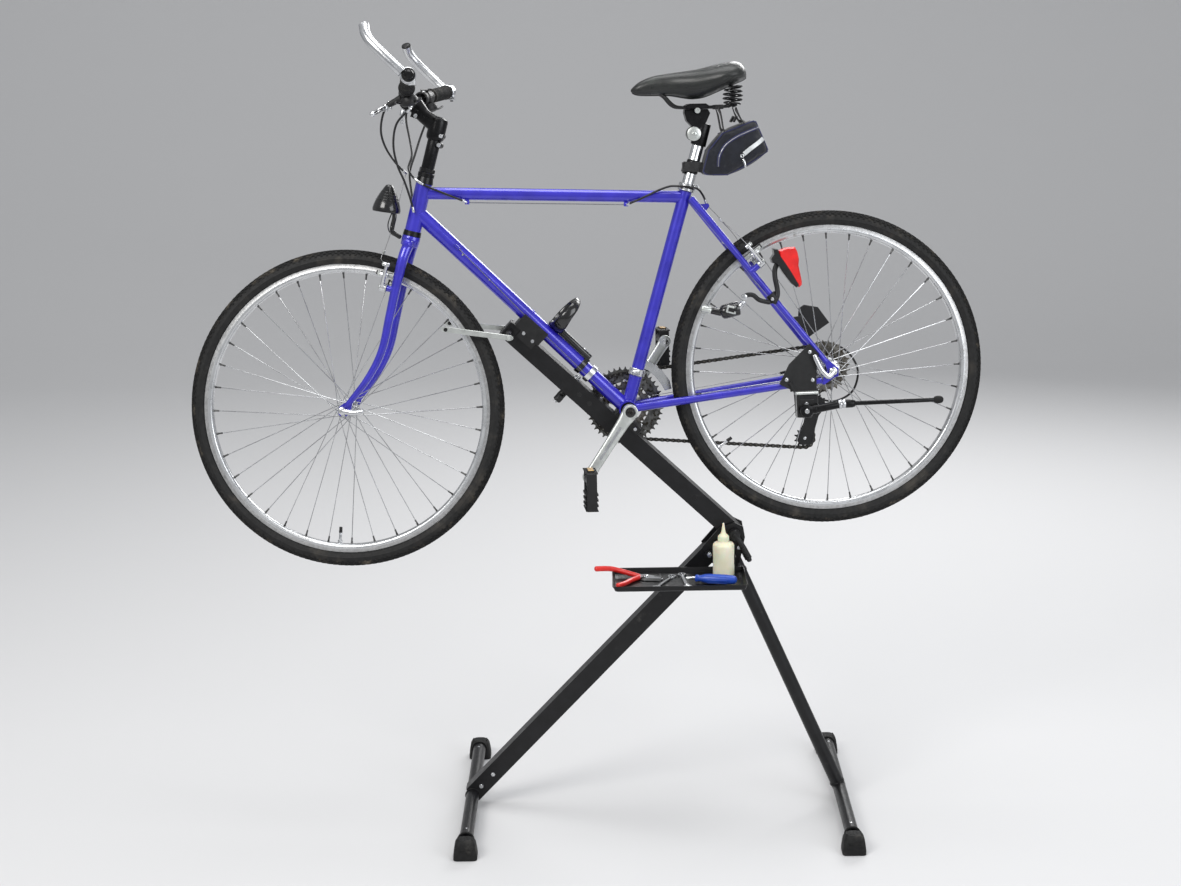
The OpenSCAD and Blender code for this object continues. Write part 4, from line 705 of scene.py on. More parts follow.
# ------------------------------------------------------------------ steering
blade = [[-470, 33, 372], [-480, 41, 345], [-497, 43, 282], [-513, 46, 216], [-531, 49, 146], [-562, 52, 88], [-611, 53, 27]]
FB, RBP = vec(-520, 46, 283), vec(294, 43, 314.5)
RU, RBX = unit(vec(-292, 0, 368)), vec(0.7834, 0, 0.6216)
m = Mesh(steer)
m.rod(HB - SD * 30, HT + SD * 36, 14.3)
m.rod(HB - SD * 34, HB - SD * 11.1, 20, 20, 40, 2.0)
m.tube(smooth([vec(-470, -36, 376), HB - SD * 27 + Y_ * -18, HB - SD * 26, HB - SD * 27 + Y_ * 18, vec(-470, 36, 376)], 6), 12.2, 20)
for s in (-1, 1):
    b = blade if s > 0 else flip(blade)
    m.tube(smooth(b, 8), [12.5, 6.6], 24)
    pv = vec(FB[0], s * FB[1], FB[2])
    m.rod(pv - SF * 24, pv - SF * 3.4, 7, mat=0)
    m.rod(pv - SF * 20, pv + SF * 12, 4, mat=1)
    # dropout with its slot
    y0, y1 = (50, 56) if s > 0 else (-56, -50)
    m.slab([[-598, 33], [-606, 37], [-616, 34], [-627, 26], [-631, 17], [-629, 9], [-624, 4], [-624.8, 15], [-622, 20], [-617.5, 20], [-615, 15], [-614.6, 3.5], [-608, 8], [-604, 16], [-600, 24]], y0, y1, 0.6, 0)
    # mudguard eyelet
    m.ring(vec(-606, y0, 30), Y_, 2.4, 5.0, 0, 6, 20, 0.4, 0)
make("fork_blades", m, "steering", [blue, silver], rep=("fork",), angle=32)

SC, SE = vec(-463, 0, 684), HT + SD * 132
m = Mesh(steer)
m.ring(HT + SD * 14.1, SD, 14.4, 18.2, 0, 9.5, 40, 0.8, 0)
m.ring(HT + SD * 24, SD, 14.4, 17.4, 0, 9.5, 8, 0.6, 0)
m.rod(HT + SD * 30, HT + SD * 122, 14.4, 14.4, 36)
m.lathe(HT + SD * 96, SD, [(15.5, 0), (18.6, 3), (20, 8), (20, 42), (18.6, 47), (12, 51), (4, 52)], 40, 0)
beam(m, [SE + vec(6, 0, -6), SE + vec(-6, 0, -1), (SE + SC) / 2 + vec(0, 0, -6), SC + vec(14, 0, -8)], [38, 37, 32, 36], [34, 34, 31, 34], Y_, 32, 2.6)
m.ring(SC - Y_ * 21, Y_, 12.85, 19.2, 0, 42, 44, 1.4, 0)
m.box(SC + vec(14, 0, -26), (15, 34, 20), 2.5, 0, rotm(Y_, 20))
for s in (-1, 1):
    m.bolt(SC + vec(16, s * 17.2, -31), Y_ * s, 4.6, 3.2, 1)
# clamp bolts down the side of the post
for l in (88, 108):
    for s in (-1, 1):
        m.rod(HT + SD * l + SF * -14 + Y_ * 3 * s, HT + SD * l + SF * -14 + Y_ * 15 * s, 6.5, mat=0)
        m.bolt(HT + SD * l + SF * -14 + Y_ * 15 * s, Y_ * s, 4.8, 3.4, 1)
make("stem_quill", m, "steering", [alloy_black, silver], rep=("stem",), angle=34)

bar_pts = [[-463, 56, 684], [-459, 84, 688], [-452, 112, 695], [-440, 160, 705], [-426, 240, 716], [-415, 292, 722]]
m = Mesh(steer)
full = flip(smooth(bar_pts, 6))[::-1] + smooth(bar_pts, 6)
rad = [12.7 if abs(p[1]) < 60 else max(11.0, 12.7 - (abs(p[1]) - 60) * 0.08) for p in full]
m.tube(full, rad, 24, ref=X_)
make("handlebar_tube", m, "steering", alloy_black, rep=("handlebar",), angle=34)
GV = unit(vec(27.2, 138, 19.4))
def gl(l, s):
    return vec(-444.6 + GV[0] * l, s * (143 + GV[1] * l), 701.3 + GV[2] * l)
def gdir(s):
    return vec(GV[0], s * GV[1], GV[2])

m = Mesh(steer)
for s in (-1, 1):
    prof = [(11.4, 14), (17.6, 14.6), (18.0, 16.5), (17.4, 18.5)]
    l = 20.0
    while l < 116:
        prof += [(14.6, l), (15.5, l + 1.0), (15.5, l + 2.4), (14.6, l + 3.4)]
        l += 4.4
    prof += [(16.2, 118), (16.4, 120), (15.6, 122), (11.4, 122.2)]
    m.lathe(gl(0, s), gdir(s), prof, 40)
    # plug in the end of the bar
    m.lathe(gl(148.2, s), gdir(s), [(13.2, -1), (14.2, 0), (14.4, 1.6), (13.4, 3.2), (9, 4.0), (5.0, 3.4), (0.1, 3.4)], 36)
make("grip_pair", m, "steering", rubber, rep=("grips",), angle=34)

be = [[-430, 286, 727], [-446, 287, 743], [-470, 286, 767], [-493, 282, 791], [-505, 273, 809], [-509, 263, 825]]
m = Mesh(steer)
for s in (-1, 1):
    m.ring(gl(130, s), gdir(s), 11.3, 16.6, 0, 18, 44, 1.2, 0)
    path = smooth(be if s > 0 else flip(be), 8)
    m.tube(path, 10.6, 26, ref=Y_, ends="bevel")
    e = unit(path[-1] - path[-2])
    m.lathe(path[-1], e, [(10.0, -3), (11.0, 0.4), (11.0, 1.8), (9.4, 4.0), (5, 5.2), (0.1, 5.4)], 28, 1 if s > 0 else 0)
    m.box(gl(139, s) + vec(8, 0, -15), (15, 15, 9), 1.6, 0)
    m.bolt(gl(139, s) + vec(8, 0, -19.4), -Z_, 3.8, 2.6, 2)
make("bar_end_pair", m, "steering", [silver, plastic_black, alloy_black], rep=("bar_ends",), angle=34)

m = Mesh(steer)
for s in (-1, 1):
    g = gdir(s)
    m.ring(gl(-44, s), g, 11.2, 16, 0, 14, 36, 1.2, 0)
    m.ring(gl(-22, s), g, 11.2, 15.4, 0, 30, 36, 1.4, 0)
    # lever body with its hinge, barrel adjuster and bolt
    a, b = gl(-37, s) + vec(-10, 0, -10), gl(-40, s) + vec(-38, 0, -24)
    beam(m, [a, a * 0.6 + b * 0.4, b], [22, 19, 15], [15, 13, 12], Z_, 20, 3)
    m.rod(b + vec(2, 0, 8), b + vec(2, 0, -9), 5, mat=2, n=18)
    ad = gl(-52, s) + vec(-30, 0, -18)
    m.tube([gl(-42, s) + vec(-28, 0, -17), ad, ad + vec(-6, -4 * s, -1)], [6.0, 4.2], 14, 2)
    m.bolt(gl(-37, s) + vec(4, 0, 14.5), Z_, 3.4, 2.4, 2)
    # shifter: pod, two thumb levers and its cap
    m.lathe(gl(-8, s) + vec(3, 0, -13), vec(0.25, 0, -1), [(12, 0), (17, 3), (18.5, 8), (18.5, 14), (17, 18), (12, 20.5), (3, 21.5)], 32, 0)
    m.rod(gl(-8, s) + vec(7.6, 0, -33.6), gl(-8, s) + vec(8.4, 0, -36.8), 5.2, mat=2, n=24)
    m.tube(smooth([gl(-8, s) + vec(2, 0, -24), gl(-2, s) + vec(14, 0, -28), gl(8, s) + vec(24, 0, -26), gl(14, s) + vec(28, 0, -22)], 5), [4.6, 3.6], 12, 1, flat=0.5, ref=Z_)
    m.tube(smooth([gl(-12, s) + vec(-6, 0, -26), gl(-4, s) + vec(-18, 0, -28), gl(4, s) + vec(-24, 0, -26)], 5), [4.2, 3.2], 12, 1, flat=0.5, ref=Z_)
    m.box(gl(-16, s) + vec(0, 0, 15.5), (18, 20, 7), 2.2, 1)
make("bar_controls", m, "steering", [plastic_black, plastic_gloss, silver], rep=("lever_mounts",), angle=34)

def lv(s, p):
    return gl(-36, s) + vec(p[0], s * p[1], p[2])
lvp = [[-45, 1, -30], [-48, 14, -33], [-49, 36, -35], [-52, 62, -41], [-58, 84, -47]]
for s, nm in ((-1, "left"), (1, "right")):
    m = Mesh(steer)
    path = smooth([lv(s, p) for p in lvp], 8)
    k = len(path)
    m.tube(path, [6.4 - 2.0 * i / (k - 1) + 0.8 * math.sin(i / (k - 1) * 9) * 0.3 for i in range(k)], 18, 0, flat=0.62, ref=vec(1, 0, 0.3), power=2.6)
    m.ball(path[-1], 6.2, 20)
    m.rod(path[0] + vec(2, 0, 6), path[0] + vec(-1, 0, -7), 6.0, n=22)
    m.bolt(path[0] + vec(2, 0, 6), Z_, 3.2, 1.8, 1)
    make("lever_blade_" + nm, m, "brake_lever_" + nm, [silver, alloy_black], rep=("brake_lever_" + nm,), angle=36)

cab = [([[-486, -108, 676], [-504, -92, 656], [-516, -62, 620], [-512, -34, 586], [-494, -12, 552], [-476, 10, 530]], None),
       ([[-486, 108, 676], [-486, 92, 648], [-474, 62, 604], [-466, 34, 570], [-470, 8, 542], [-458, -18, 523], [-444, -23.4, 511]], None),
       ([[-440, -130, 662], [-472, -116, 632], [-486, -84, 590], [-484, -56, 548], [-472, -40, 512], [-462, -30, 476], [-456, -24, 446]], None),
       ([[-440, 130, 662], [-456, 108, 616], [-466, 76, 572], [-474, 50, 534], [-470, 34, 496], [-462, 27, 446]], None)]
m = Mesh(steer)
for p, r in cab:
    path = smooth(p, 9)
    m.tube(path, 2.4, 12, 0, ends="bevel")
    for e, f in ((0, 1), (-1, -2)):
        d = unit(path[e] - path[f])
        m.rod(path[e] - d * 11, path[e] + d * 1.5, 3.0, 2.9, 16, 0.5, 1)
# bare wire from the hanger down to the straddle yoke of the front brake
m.tube(smooth([vec(-476, 10, 532), vec(-484, 6, 500), vec(-500, 0, 440), vec(-514, 0, 396), vec(-527, 0, 362)], 5), 0.85, 8, 2)
yk = vec(-528, 0, 360)
m.slab([[-8, 4], [8, 4], [5, -5], [-5, -5]], -2.2, 2.2, 0.5, 3, o=yk, ax=(Y_, SD, SF))
for s in (-1, 1):
    m.tube(smooth([yk + Y_ * s * 4, yk + vec(-2, s * 30, -14), vec(FB[0], s * 66, FB[2]) + SD * 49 + SF * 5], 5), 0.8, 8, 2)
make("bar_cable_runs", m, "steering", [cable_m, silver, wire_m, silver_satin], rep=("bar_cables",), angle=40)

m = Mesh(steer)
m.rod(HUBF + Y_ * -62, HUBF + Y_ * 62, 4.5)
m.lathe(HUBF + Y_ * 56.1, Y_, [(9.5, 0), (9.8, 1), (9.8, 2.6), (7.6, 4), (7.2, 9), (6.2, 10), (3, 10.4)], 28)
m.lathe(HUBF + Y_ * -56.1, -Y_, [(9, 0), (9.4, 1), (9.4, 4), (8, 8), (6, 9)], 28)
m.tube(smooth([HUBF + vec(0, -63, 0), HUBF + vec(10, -66.5, -2), HUBF + vec(26, -68.5, -4), HUBF + vec(46, -68, -2)], 6), [6.2, 4.4], 16, 0, flat=0.55, ref=Y_)
for s in (-1, 1):
    m.ring(HUBF + Y_ * (s * 44 - 2), Y_, 4.6, 8, 0, 4, 6, 0.5, 1)
make("axle_front_set", m, "steering", [silver, chain_m], rep=("front_axle",), angle=34)

# headlight: bell housing, lens facing forwards, bracket and lead
m = Mesh(steer)
c0 = vec(-518, 0, 464)
hd = unit(vec(math.sin(math.radians(9)), 0, math.cos(math.radians(9))))
m.lathe(c0, hd, [(0.5, -13), (20, -13.4), (26.5, -15), (29, -18), (30.2, -17), (31.2, -12), (29.5, -4), (27, 4), (23.5, 13), (19, 22), (15, 29), (11, 36), (8.4, 40), (6, 42), (0.5, 43)], 48, 0)
m.lathe(c0, hd, [(0.5, -17.2), (14, -16.6), (24.6, -14.6), (25.6, -13.2), (0.5, -13)], 40, 1)
for k in range(4):
    m.ring(c0 + hd * (8 + 6 * k), hd, 14, [26.0, 22.8, 19.6, 16.6][k] + 0.6, 0, 1.4, 40, 0.4, 0)
m.rod(c0 + hd * 10 + Y_ * 20, c0 + hd * 10 + Y_ * 27, 4.5, mat=0, n=20)
m.tube(smooth([[-503, 0, 452], [-503, 0, 434], [-507, 0, 418], [-508, 0, 404], [-492, 0, 392]], 6), 5.0, 16, 0, flat=0.7, ref=Y_)
m.bolt(vec(-508, -4, 413), -Y_, 4.6, 3, 0, False)
m.tube(smooth([[-508, 3, 446], [-518, 8, 424], [-518, 9, 408], [-510, 7, 398], [-498, 5, 392]], 6), 1.3, 8, 0)
make("headlight_bell", m, "headlight", [plastic_gloss, clear, silver], rep=("headlight",), angle=34)

def cantilever(name, place, body, node, pv0, ax, up, s):
    m = Mesh(place)
    pv = vec(pv0[0], s * pv0[1], pv0[2])
    # pivot barrel, its bolt and the sprung collar
    m.ring(pv - ax * 2.6, ax, 4.3, 9, 0, 14.4, 32, 0.8, 0)
    m.lathe(pv + ax * 11.6, ax, [(6.6, 0), (6.6, 1.2), (5.6, 2.6), (3.2, 2.6), (3.2, 1.2), (0.1, 1.2)], 24, 1)
    m.ring(pv - ax * 3.2, ax, 8.4, 9.8, 0, 2.4, 32, 0.3, 1)
    # arm: curved web that rises outwards to the wire clamp
    pts = [pv + ax * 6 + Y_ * s * 5 + up * 3, pv + ax * 6 + Y_ * s * 10 + up * 14, pv + ax * 5.5 + Y_ * s * 15 + up * 28, pv + ax * 5 + Y_ * s * 19 + up * 40, pv + ax * 4 + Y_ * s * 22 + up * 51]
    beam(m, smooth(pts, 4), list(np.linspace(14, 9, 17)), list(np.linspace(9, 7, 17)), ax, 18, 2.8)
    e = pts[-1]
    m.rod(e - ax * 6, e + ax * 7, 4.6, mat=0, n=20)
    m.bolt(e + ax * 7, ax, 4.4, 2.8, 1, False)
    # post of the pad, its eye bolt and washer
    c = pv + ax * 6 + up * 27
    m.rod(c + Y_ * -s * 20, c + Y_ * s * 16, 3.3, mat=1, n=18)
    m.rod(c + Y_ * s * 9 - ax * 8, c + Y_ * s * 9 + ax * 10, 5.6, mat=0, n=22)
    m.bolt(c + Y_ * s * 9 + ax * 10, ax, 5, 3.2, 1, False)
    # rubber pad, long side along the rim, in a thin holder
    t = unit(np.cross(Y_, up)) if True else X_
    k = vec(c[0], s * 18.6, c[2])
    dirp = unit(np.cross(Y_, unit(vec(up[0], 0, up[2]))))
    Rm = np.stack([dirp, Y_, np.cross(dirp, Y_)], 1)
    m.box(k - Y_ * s * 0.7, (50, 6.6, 8.6), 1.4, 2, Rm)
    m.box(k + Y_ * s * 3.4, (44, 2.2, 7.2), 0.6, 1, Rm)
    for g in (-14, -4, 6, 16):
        m.box(k + dirp * g - Y_ * s * 4.0, (1.6, 0.8, 9.0), 0.2, 3, Rm)
    return make(name, m, body, [silver, silver_satin, rubber, plastic_black], rep=(node,), angle=34)
for s, nm in ((-1, "left"), (1, "right")):
    cantilever("cantilever_front_" + nm, steer, "front_brake_" + nm, "front_brake_" + nm, FB, SF, SD, s)
    cantilever("cantilever_rear_" + nm, bike, "rear_brake_" + nm, "rear_brake_" + nm, RBP, RBX, RU, s)

# ------------------------------------------------------------------ saddle, post and bag
m = Mesh(bike)
m.rod(ST * 370, ST * 600, 13.3, 13.3, 40)
for k in range(4):
    m.ring(ST * (530 + 12 * k), ST, 13.2, 13.42, 0, 0.8, 40, 0.05, 1)
m.lathe(ST * 537, ST, [(13.4, 0), (15.0, 2), (15.0, 26), (14.4, 28.5), (13.4, 29.5)], 36, 2)
m.rod(ST * 600, ST * 650, 17, 16.4, 40, 1.5, 2)
m.slab([[141, 630], [136, 648], [137, 655], [188, 655], [193, 646], [184, 626], [170, 610], [158, 612]], -16, 16, 2.0, 2)
for s in (-1, 1):
    m.slab([[138, 656], [138, 663], [146, 667], [182, 667], [189, 662], [189, 656]], s * 22 - 8, s * 22 + 8, 1.4, 2)
m.rod(vec(163, -30, 652), vec(163, 30, 652), 6.5, mat=2, n=26)
m.bolt(vec(163, -30, 652), -Y_, 6.5, 4, 1)
m.bolt(vec(163, 30, 652), Y_, 6.5, 4, 1)
# pivot disc and its bolt on the near side of the head
dc = vec(157, 0, 602)
m.rod(vec(157, -12, 602), vec(157, 12, 602), 15.2, mat=2, n=36)
for s in (-1, 1):
    m.lathe(dc + Y_ * s * 12, Y_ * s, [(15.5, 0), (15.8, 2), (15.2, 4.4), (13.5, 5.4), (5, 5.4), (5, 6.8), (3.4, 7.6), (1.6, 7.6), (1.6, 6.0), (0.1, 6.0)], 40, 1)
make("seat_post_set", m, "seat", [silver, silver_satin, alloy_black], rep=("seatpost",), angle=34)

m = Mesh(bike)
for s in (-1, 1):
    m.tube(smooth([[72, s * 5, 694], [92, s * 13, 684], [112, s * 21, 664], [134, s * 22, 659], [190, s * 22, 659], [228, s * 23, 660], [240, s * 32, 664]], 7), 3.5, 16)
    # barrel coil: turns stacked from the rail up to the base plate
    pts = []
    n = 150
    for i in range(n + 1):
        t = i / n
        a = 2 * math.pi * 4.25 * t
        R = 11.0 + 4.0 * math.sin(math.pi * min(1, t * 1.1))
        pts.append(vec(244 + R * math.cos(a) + 2 * t, s * (42 + R * math.sin(a)), 664 + 39 * t))
    m.tube(pts, 1.9, 9, 0)
    m.rod(vec(240, s * 34, 660), vec(246, s * 44, 663), 3.4, mat=0, n=16)
    m.ring(vec(246, s * 42, 701), Z_, 6, 15, 0, 3, 30, 0.6, 0)
m.rod(vec(240, -34, 662), vec(240, 34, 662), 3.2, mat=0)
# straps from the rails down to the bag, with their buckles
for s in (-1, 1):
    for xa, xb, zb in ((196, 214, 606), (234, 262, 618)):
        p = smooth([vec(xa + 14, s * 21, 655), vec(xa + 18, s * 24, 645), vec((xa + xb) / 2 + 12, s * 24, 630), vec(xb + 6, s * 22, zb + 6), vec(xb + 10, s * 20, zb)], 5)
        m.tube(p, 8.5, 16, 1, flat=0.16, ref=Y_ if False else X_, power=4)
    m.box(vec(246, s * 24.5, 632), (4, 21, 14), 1.2, 2, rotm(Y_, 30))
    m.ring(vec(212, s * 21, 659), X_, 3.6, 5.0, -9, 9, 20, 0.4, 1)
make("saddle_rail_set", m, "seat", [steel_black, strap_m, plastic_black], rep=("saddle_rails",), angle=36)

# saddle: cross-sections from nose to tail, crowned top, skirt turned in under the edge
S = [  # x, half width, top z, edge z, base z
    (20.5, 3, 700, 698, 695), (24, 9, 704, 698, 692), (32, 14, 711.5, 699, 688.5), (44, 17.5, 719, 701, 687), (62, 20.5, 726.5, 704, 686.5), (86, 23.5, 731.5, 707, 686.5),
    (108, 28, 734, 708, 686), (134, 37, 738, 708, 680.5), (158, 49, 741, 708, 677), (180, 62, 745.5, 712, 680), (202, 72, 750.5, 717, 689.5),
    (222, 77.5, 755, 722, 698), (240, 77, 758, 726, 705.5), (254, 70, 757, 728, 711), (264, 56, 750, 727.5, 714.5), (270, 38, 743, 727, 718), (273.5, 18, 734, 727, 720.5)]
def section(x, w, zt, ze, zb, k=40):
    out = []
    groove = 2.0 * max(0, math.sin(math.pi * min(1, max(0, (x - 120) / 150))))
    for j in range(k):
        a = 2 * math.pi * j / k
        c, s = math.cos(a), math.sin(a)
        if s >= 0:
            y = w * math.copysign(abs(c) ** 0.78, c)
            z = ze + (zt - ze) * s ** 0.88 - groove * math.exp(-(y / 11.0) ** 2)
        else:
            y = w * math.copysign(abs(c) ** 0.5, c) * (1 - 0.18 * abs(s))
            z = ze + (ze - zb) * math.copysign(abs(s) ** 0.75, s)
        out.append([x, y, z])
    return np.array(out)
xs = np.array([q[0] for q in S])
rings = []
for x in np.concatenate([np.linspace(20.5, 44, 7), np.linspace(52, 252, 27), np.linspace(257, 273.5, 6)]):
    rings.append(section(x, *[float(np.interp(x, xs, [q[i] for q in S])) for i in range(1, 5)]))
for _ in range(2):
    rings = [rings[0]] + [(rings[i - 1] + 2 * rings[i] + rings[i + 1]) / 4 for i in range(1, len(rings) - 1)] + [rings[-1]]
m = Mesh(bike)
m.rings(rings, 0)
saddle = make("saddle_cover", m, "seat", [vinyl], rep=("saddle",), angle=80, sub=1)
m = Mesh(bike)
# seam where the cover is stapled round the base, the base plate and the tail badge plate left plain
edge = []
for q in rings[2:-1]:
    edge.append(q[36 if False else 29])
left = [vec(q[29][0], q[29][1], q[29][2]) for q in rings[1:]]
right = [vec(q[0], -q[1], q[2]) for q in left]
m.tube(left[::-1] + right, 1.5, 8, 0, loop=True)
m.tube([vec(q[0], q[1] * 0.995, q[2]) for q in [r[22] for r in rings[2:]]], 0.55, 6, 1)
m.tube([vec(q[0], -q[1] * 0.995, q[2]) for q in [r[22] for r in rings[2:]]], 0.55, 6, 1)
make("saddle_trim", m, "seat", [plastic_black, strap_m], angle=60)

# bag: wedge of fabric, puffed out by simulation
def bag_ring(t):
    return t
def hullpts():
    C = [(182, 520, 9), (195, 560, 11), (224, 594, 11), (286, 618, 10), (309, 565, 9), (270, 541, 9), (224, 519, 9)]
    out = []
    n = len(C)
    for i in range(n):
        a, b, c = C[i - 1], C[i], C[(i + 1) % n]
        d1, d2 = unit(vec(b[0] - a[0], 0, b[1] - a[1])), unit(vec(c[0] - b[0], 0, c[1] - b[1]))
        # outline runs clockwise seen from the left; outward normal is to the left of travel
        n1, n2 = vec(-d1[2], 0, d1[0]), vec(-d2[2], 0, d2[0])
        for k in range(6):
            nn = unit(n1 * (1 - k / 5) + n2 * (k / 5))
            out.append([b[0] + nn[0] * b[2], b[1] + nn[2] * b[2]])
    return out
half = {}
out = hullpts()
m = Mesh(bike)
cx, cz = 248, 566
rs = []
for f, y in ((0.80, -38.5), (0.93, -36), (0.985, -31), (1.0, -24), (1.0, -8), (1.0, 8), (1.0, 24), (0.985, 31), (0.93, 36), (0.80, 38.5)):
    rs.append(np.array([[cx + (p[0] - cx) * f, y * (0.78 if p[0] < 214 and p[1] < 560 else 1.0), cz + (p[1] - cz) * f] for p in out]))
m.rings(rs, 0)
bag = make("saddle_bag_shell", m, None, [nylon], angle=180)
def swell(ob, voxel, pressure, cap, frames=20):
    bpy.context.view_layer.objects.active = ob
    for o in bpy.context.selected_objects:
        o.select_set(False)
    ob.select_set(True)
    rm = ob.modifiers.new("remesh", "REMESH")
    rm.mode = "VOXEL"
    rm.voxel_size = voxel
    bpy.ops.object.modifier_apply(modifier="remesh")
    start = np.zeros(len(ob.data.vertices) * 3, np.float32)
    ob.data.vertices.foreach_get("co", start)
    start = start.reshape(-1, 3).copy()
    cl = ob.modifiers.new("cloth", "CLOTH")
    cl.settings.quality = 6
    cl.settings.mass = 0.2
    cl.settings.tension_stiffness = cl.settings.compression_stiffness = 18
    cl.settings.shear_stiffness = 8
    cl.settings.bending_stiffness = 0.6
    cl.settings.use_pressure = True
    cl.settings.uniform_pressure_force = pressure
    cl.settings.effector_weights.gravity = 0
    cl.collision_settings.use_collision = False
    for fr in range(1, frames + 1):
        scene.frame_set(fr)
    dg = bpy.context.evaluated_depsgraph_get()
    ev = ob.evaluated_get(dg)
    moved = np.zeros(len(ev.data.vertices) * 3, np.float32)
    ev.data.vertices.foreach_get("co", moved)
    moved = moved.reshape(-1, 3).copy()
    ob.modifiers.remove(cl)
    scene.frame_set(1)
    d = moved - start
    l = np.linalg.norm(d, axis=1)
    moved = start + d * np.minimum(1, cap / np.maximum(l, 1e-9))[:, None]
    ob.data.vertices.foreach_set("co", moved.astype(np.float32).ravel())
    ob.data.update()
    return ob
swell(bag, 0.005, 4.0, 0.007)
# sewn seams pulled in and small creases, after the remesh
co = np.zeros(len(bag.data.vertices) * 3, np.float32)
bag.data.vertices.foreach_get("co", co)
co = co.reshape(-1, 3)
L = ((co * 1000) - OB) @ RB                    # back to bicycle coordinates, in mm
crease = np.sin(L[:, 0] * 0.21 + L[:, 2] * 0.13) * np.sin(L[:, 2] * 0.17 - L[:, 0] * 0.05) * 0.7 + np.sin(L[:, 0] * 0.09 - L[:, 2] * 0.31 + 1.3) * 0.35
side = np.clip((np.abs(L[:, 1]) - 20) / 14, 0, 1)
L[:, 1] += np.sign(L[:, 1]) * crease * side
seam = np.exp(-((np.abs(L[:, 1]) - 33) / 2.6) ** 2)
cen = np.stack([np.full(len(L), cx), L[:, 1], np.full(len(L), cz)], 1)
dirn = L - cen
dirn[:, 1] = 0
dl = np.linalg.norm(dirn, axis=1)[:, None]
L -= dirn / np.maximum(dl, 1) * (seam * np.clip((dl[:, 0] - 22) / 12, 0, 1))[:, None] * 1.6
# the tail sags a little over its own weight
L[:, 2] -= 1.6 * np.exp(-((L[:, 0] - 268) / 26) ** 2) * np.clip((560 - L[:, 2]) / 30, 0, 1)
bag.data.vertices.foreach_set("co", (bike(L) * 0.001).astype(np.float32).ravel())
bag.data.materials.clear()
bag.data.materials.append(nylon)
bag.data.shade_smooth()
bag.data.update()
sb = bag.modifiers.new("sub", "SUBSURF")
sb.levels = sb.render_levels = 1
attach(bag, "seat")
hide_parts("saddle_bag")

from mathutils.bvhtree import BVHTree
bag_pts = (np.array([v.co for v in bag.data.vertices]) * 1000 - OB) @ RB
bvh = BVHTree.FromPolygons([Vector(p) for p in bag_pts], [list(p.vertices) for p in bag.data.polygons])
def on_bag(p, d, lift):
    hit = bvh.ray_cast(Vector(p), Vector(d))
    if hit[0] is None:
        return np.array(bvh.find_nearest(Vector(p))[0])
    return np.array(hit[0]) + np.array(hit[1]) * lift
def side_path(pts, s, lift, n=10):
    out = []
    for p in smooth([vec(a[0], 0, a[1]) for a in pts], n):
        out.append(on_bag((p[0], s * 120, p[2]), (0, -s, 0), lift))
    return out
m = Mesh(bike)
def strip(path, hw, lift_axis, mat, th=0.8):
    rs = []
    for i, p in enumerate(path):
        t = unit(path[min(i + 1, len(path) - 1)] - path[max(i - 1, 0)])
        a = unit(np.cross(lift_axis, t))
        nrm = unit(np.cross(t, a))
        rs.append(np.array([p - a * hw - nrm * th, p + a * hw - nrm * th, p + a * hw + nrm * th, p + a * hw * 0.7 + nrm * th * 1.4, p - a * hw * 0.7 + nrm * th * 1.4, p - a * hw + nrm * th]))
    m.rings(rs, mat)
for s in (-1, 1):
    strip(side_path([(262, 556), (276, 567), (292, 578), (306, 588.5)], s, 0.4, 6), 4.6, Y_ * s, 0)
    # zip: tape, teeth line and puller
    zp = side_path([(206, 530), (208, 552), (220, 574), (244, 592), (276, 606), (296, 613)], s, 0.2, 8)
    strip(zp, 3.2, Y_ * s, 3, 0.5)
    m.tube([p + Y_ * s * 0.8 for p in zp], 0.9, 6, 2)
    pp = on_bag((258, s * 120, 552), (0, -s, 0), 1.0)
    m.ring(pp + vec(0, s * 0.4, 0), Y_, 1.9, 4.4, -0.9, 0.9, 24, 0.3, 1)
    m.box(pp + vec(5, s * 0.9, -16), (4.2, 1.3, 20), 0.4, 1, rotm(Y_, -14))
    # piping round each side panel
    loopp = []
    for q in out:
        f = 0.965
        p = vec(cx + (q[0] - cx) * f, 0, cz + (q[1] - cz) * f)
        loopp.append(on_bag((p[0], s * 120, p[2]), (0, -s, 0), 0.3))
    loopp = [loopp[i] for i in range(0, len(loopp))]
    keep = [loopp[0]]
    for p in loopp[1:]:
        if np.linalg.norm(p - keep[-1]) > 3.0:
            keep.append(p)
    if np.linalg.norm(keep[0] - keep[-1]) < 3.0:
        keep.pop()
    dense = smooth(keep + [keep[0]], 3)[:-1]
    m.tube(dense, 1.35, 8, 3, loop=True)
# strap that holds the bag to the post
m.tube([vec(170 + 26 * math.cos(a) * 1.0, 22 * math.sin(a), 536 + 3 * math.cos(a)) for a in np.linspace(0.6, 2 * math.pi - 0.6, 40)], 9, 16, 4, flat=0.13, ref=None, power=4) if False else None
m2 = Mesh(bike)
c2 = ST * 552
pth = [c2 + vec(19 * math.cos(a), 19 * math.sin(a), 0) + vec(2, 0, -1) * (math.cos(a)) for a in np.linspace(0.75, 2 * math.pi - 0.75, 36)]
pth = [vec(202, 14, c2[2] - 10)] + pth + [vec(202, -14, c2[2] - 10)]
rs = []
for i, p in enumerate(pth):
    t = unit(pth[min(i + 1, len(pth) - 1)] - pth[max(i - 1, 0)])
    nrm = unit(np.cross(t, ST))
    rs.append(np.array([p - ST * 11 - nrm, p + ST * 11 - nrm, p + ST * 11 + nrm, p - ST * 11 + nrm]))
m2.rings(rs, 0)
m2.box(c2 + vec(-19.5, 0, -2), (4, 20, 24), 1.2, 1)
make("bag_post_strap", m2, "seat", [strap_m, plastic_black], angle=40)
make("saddle_bag_trim", m, "seat", [reflect, silver, wire_m, nylon_blue, strap_m], angle=50)

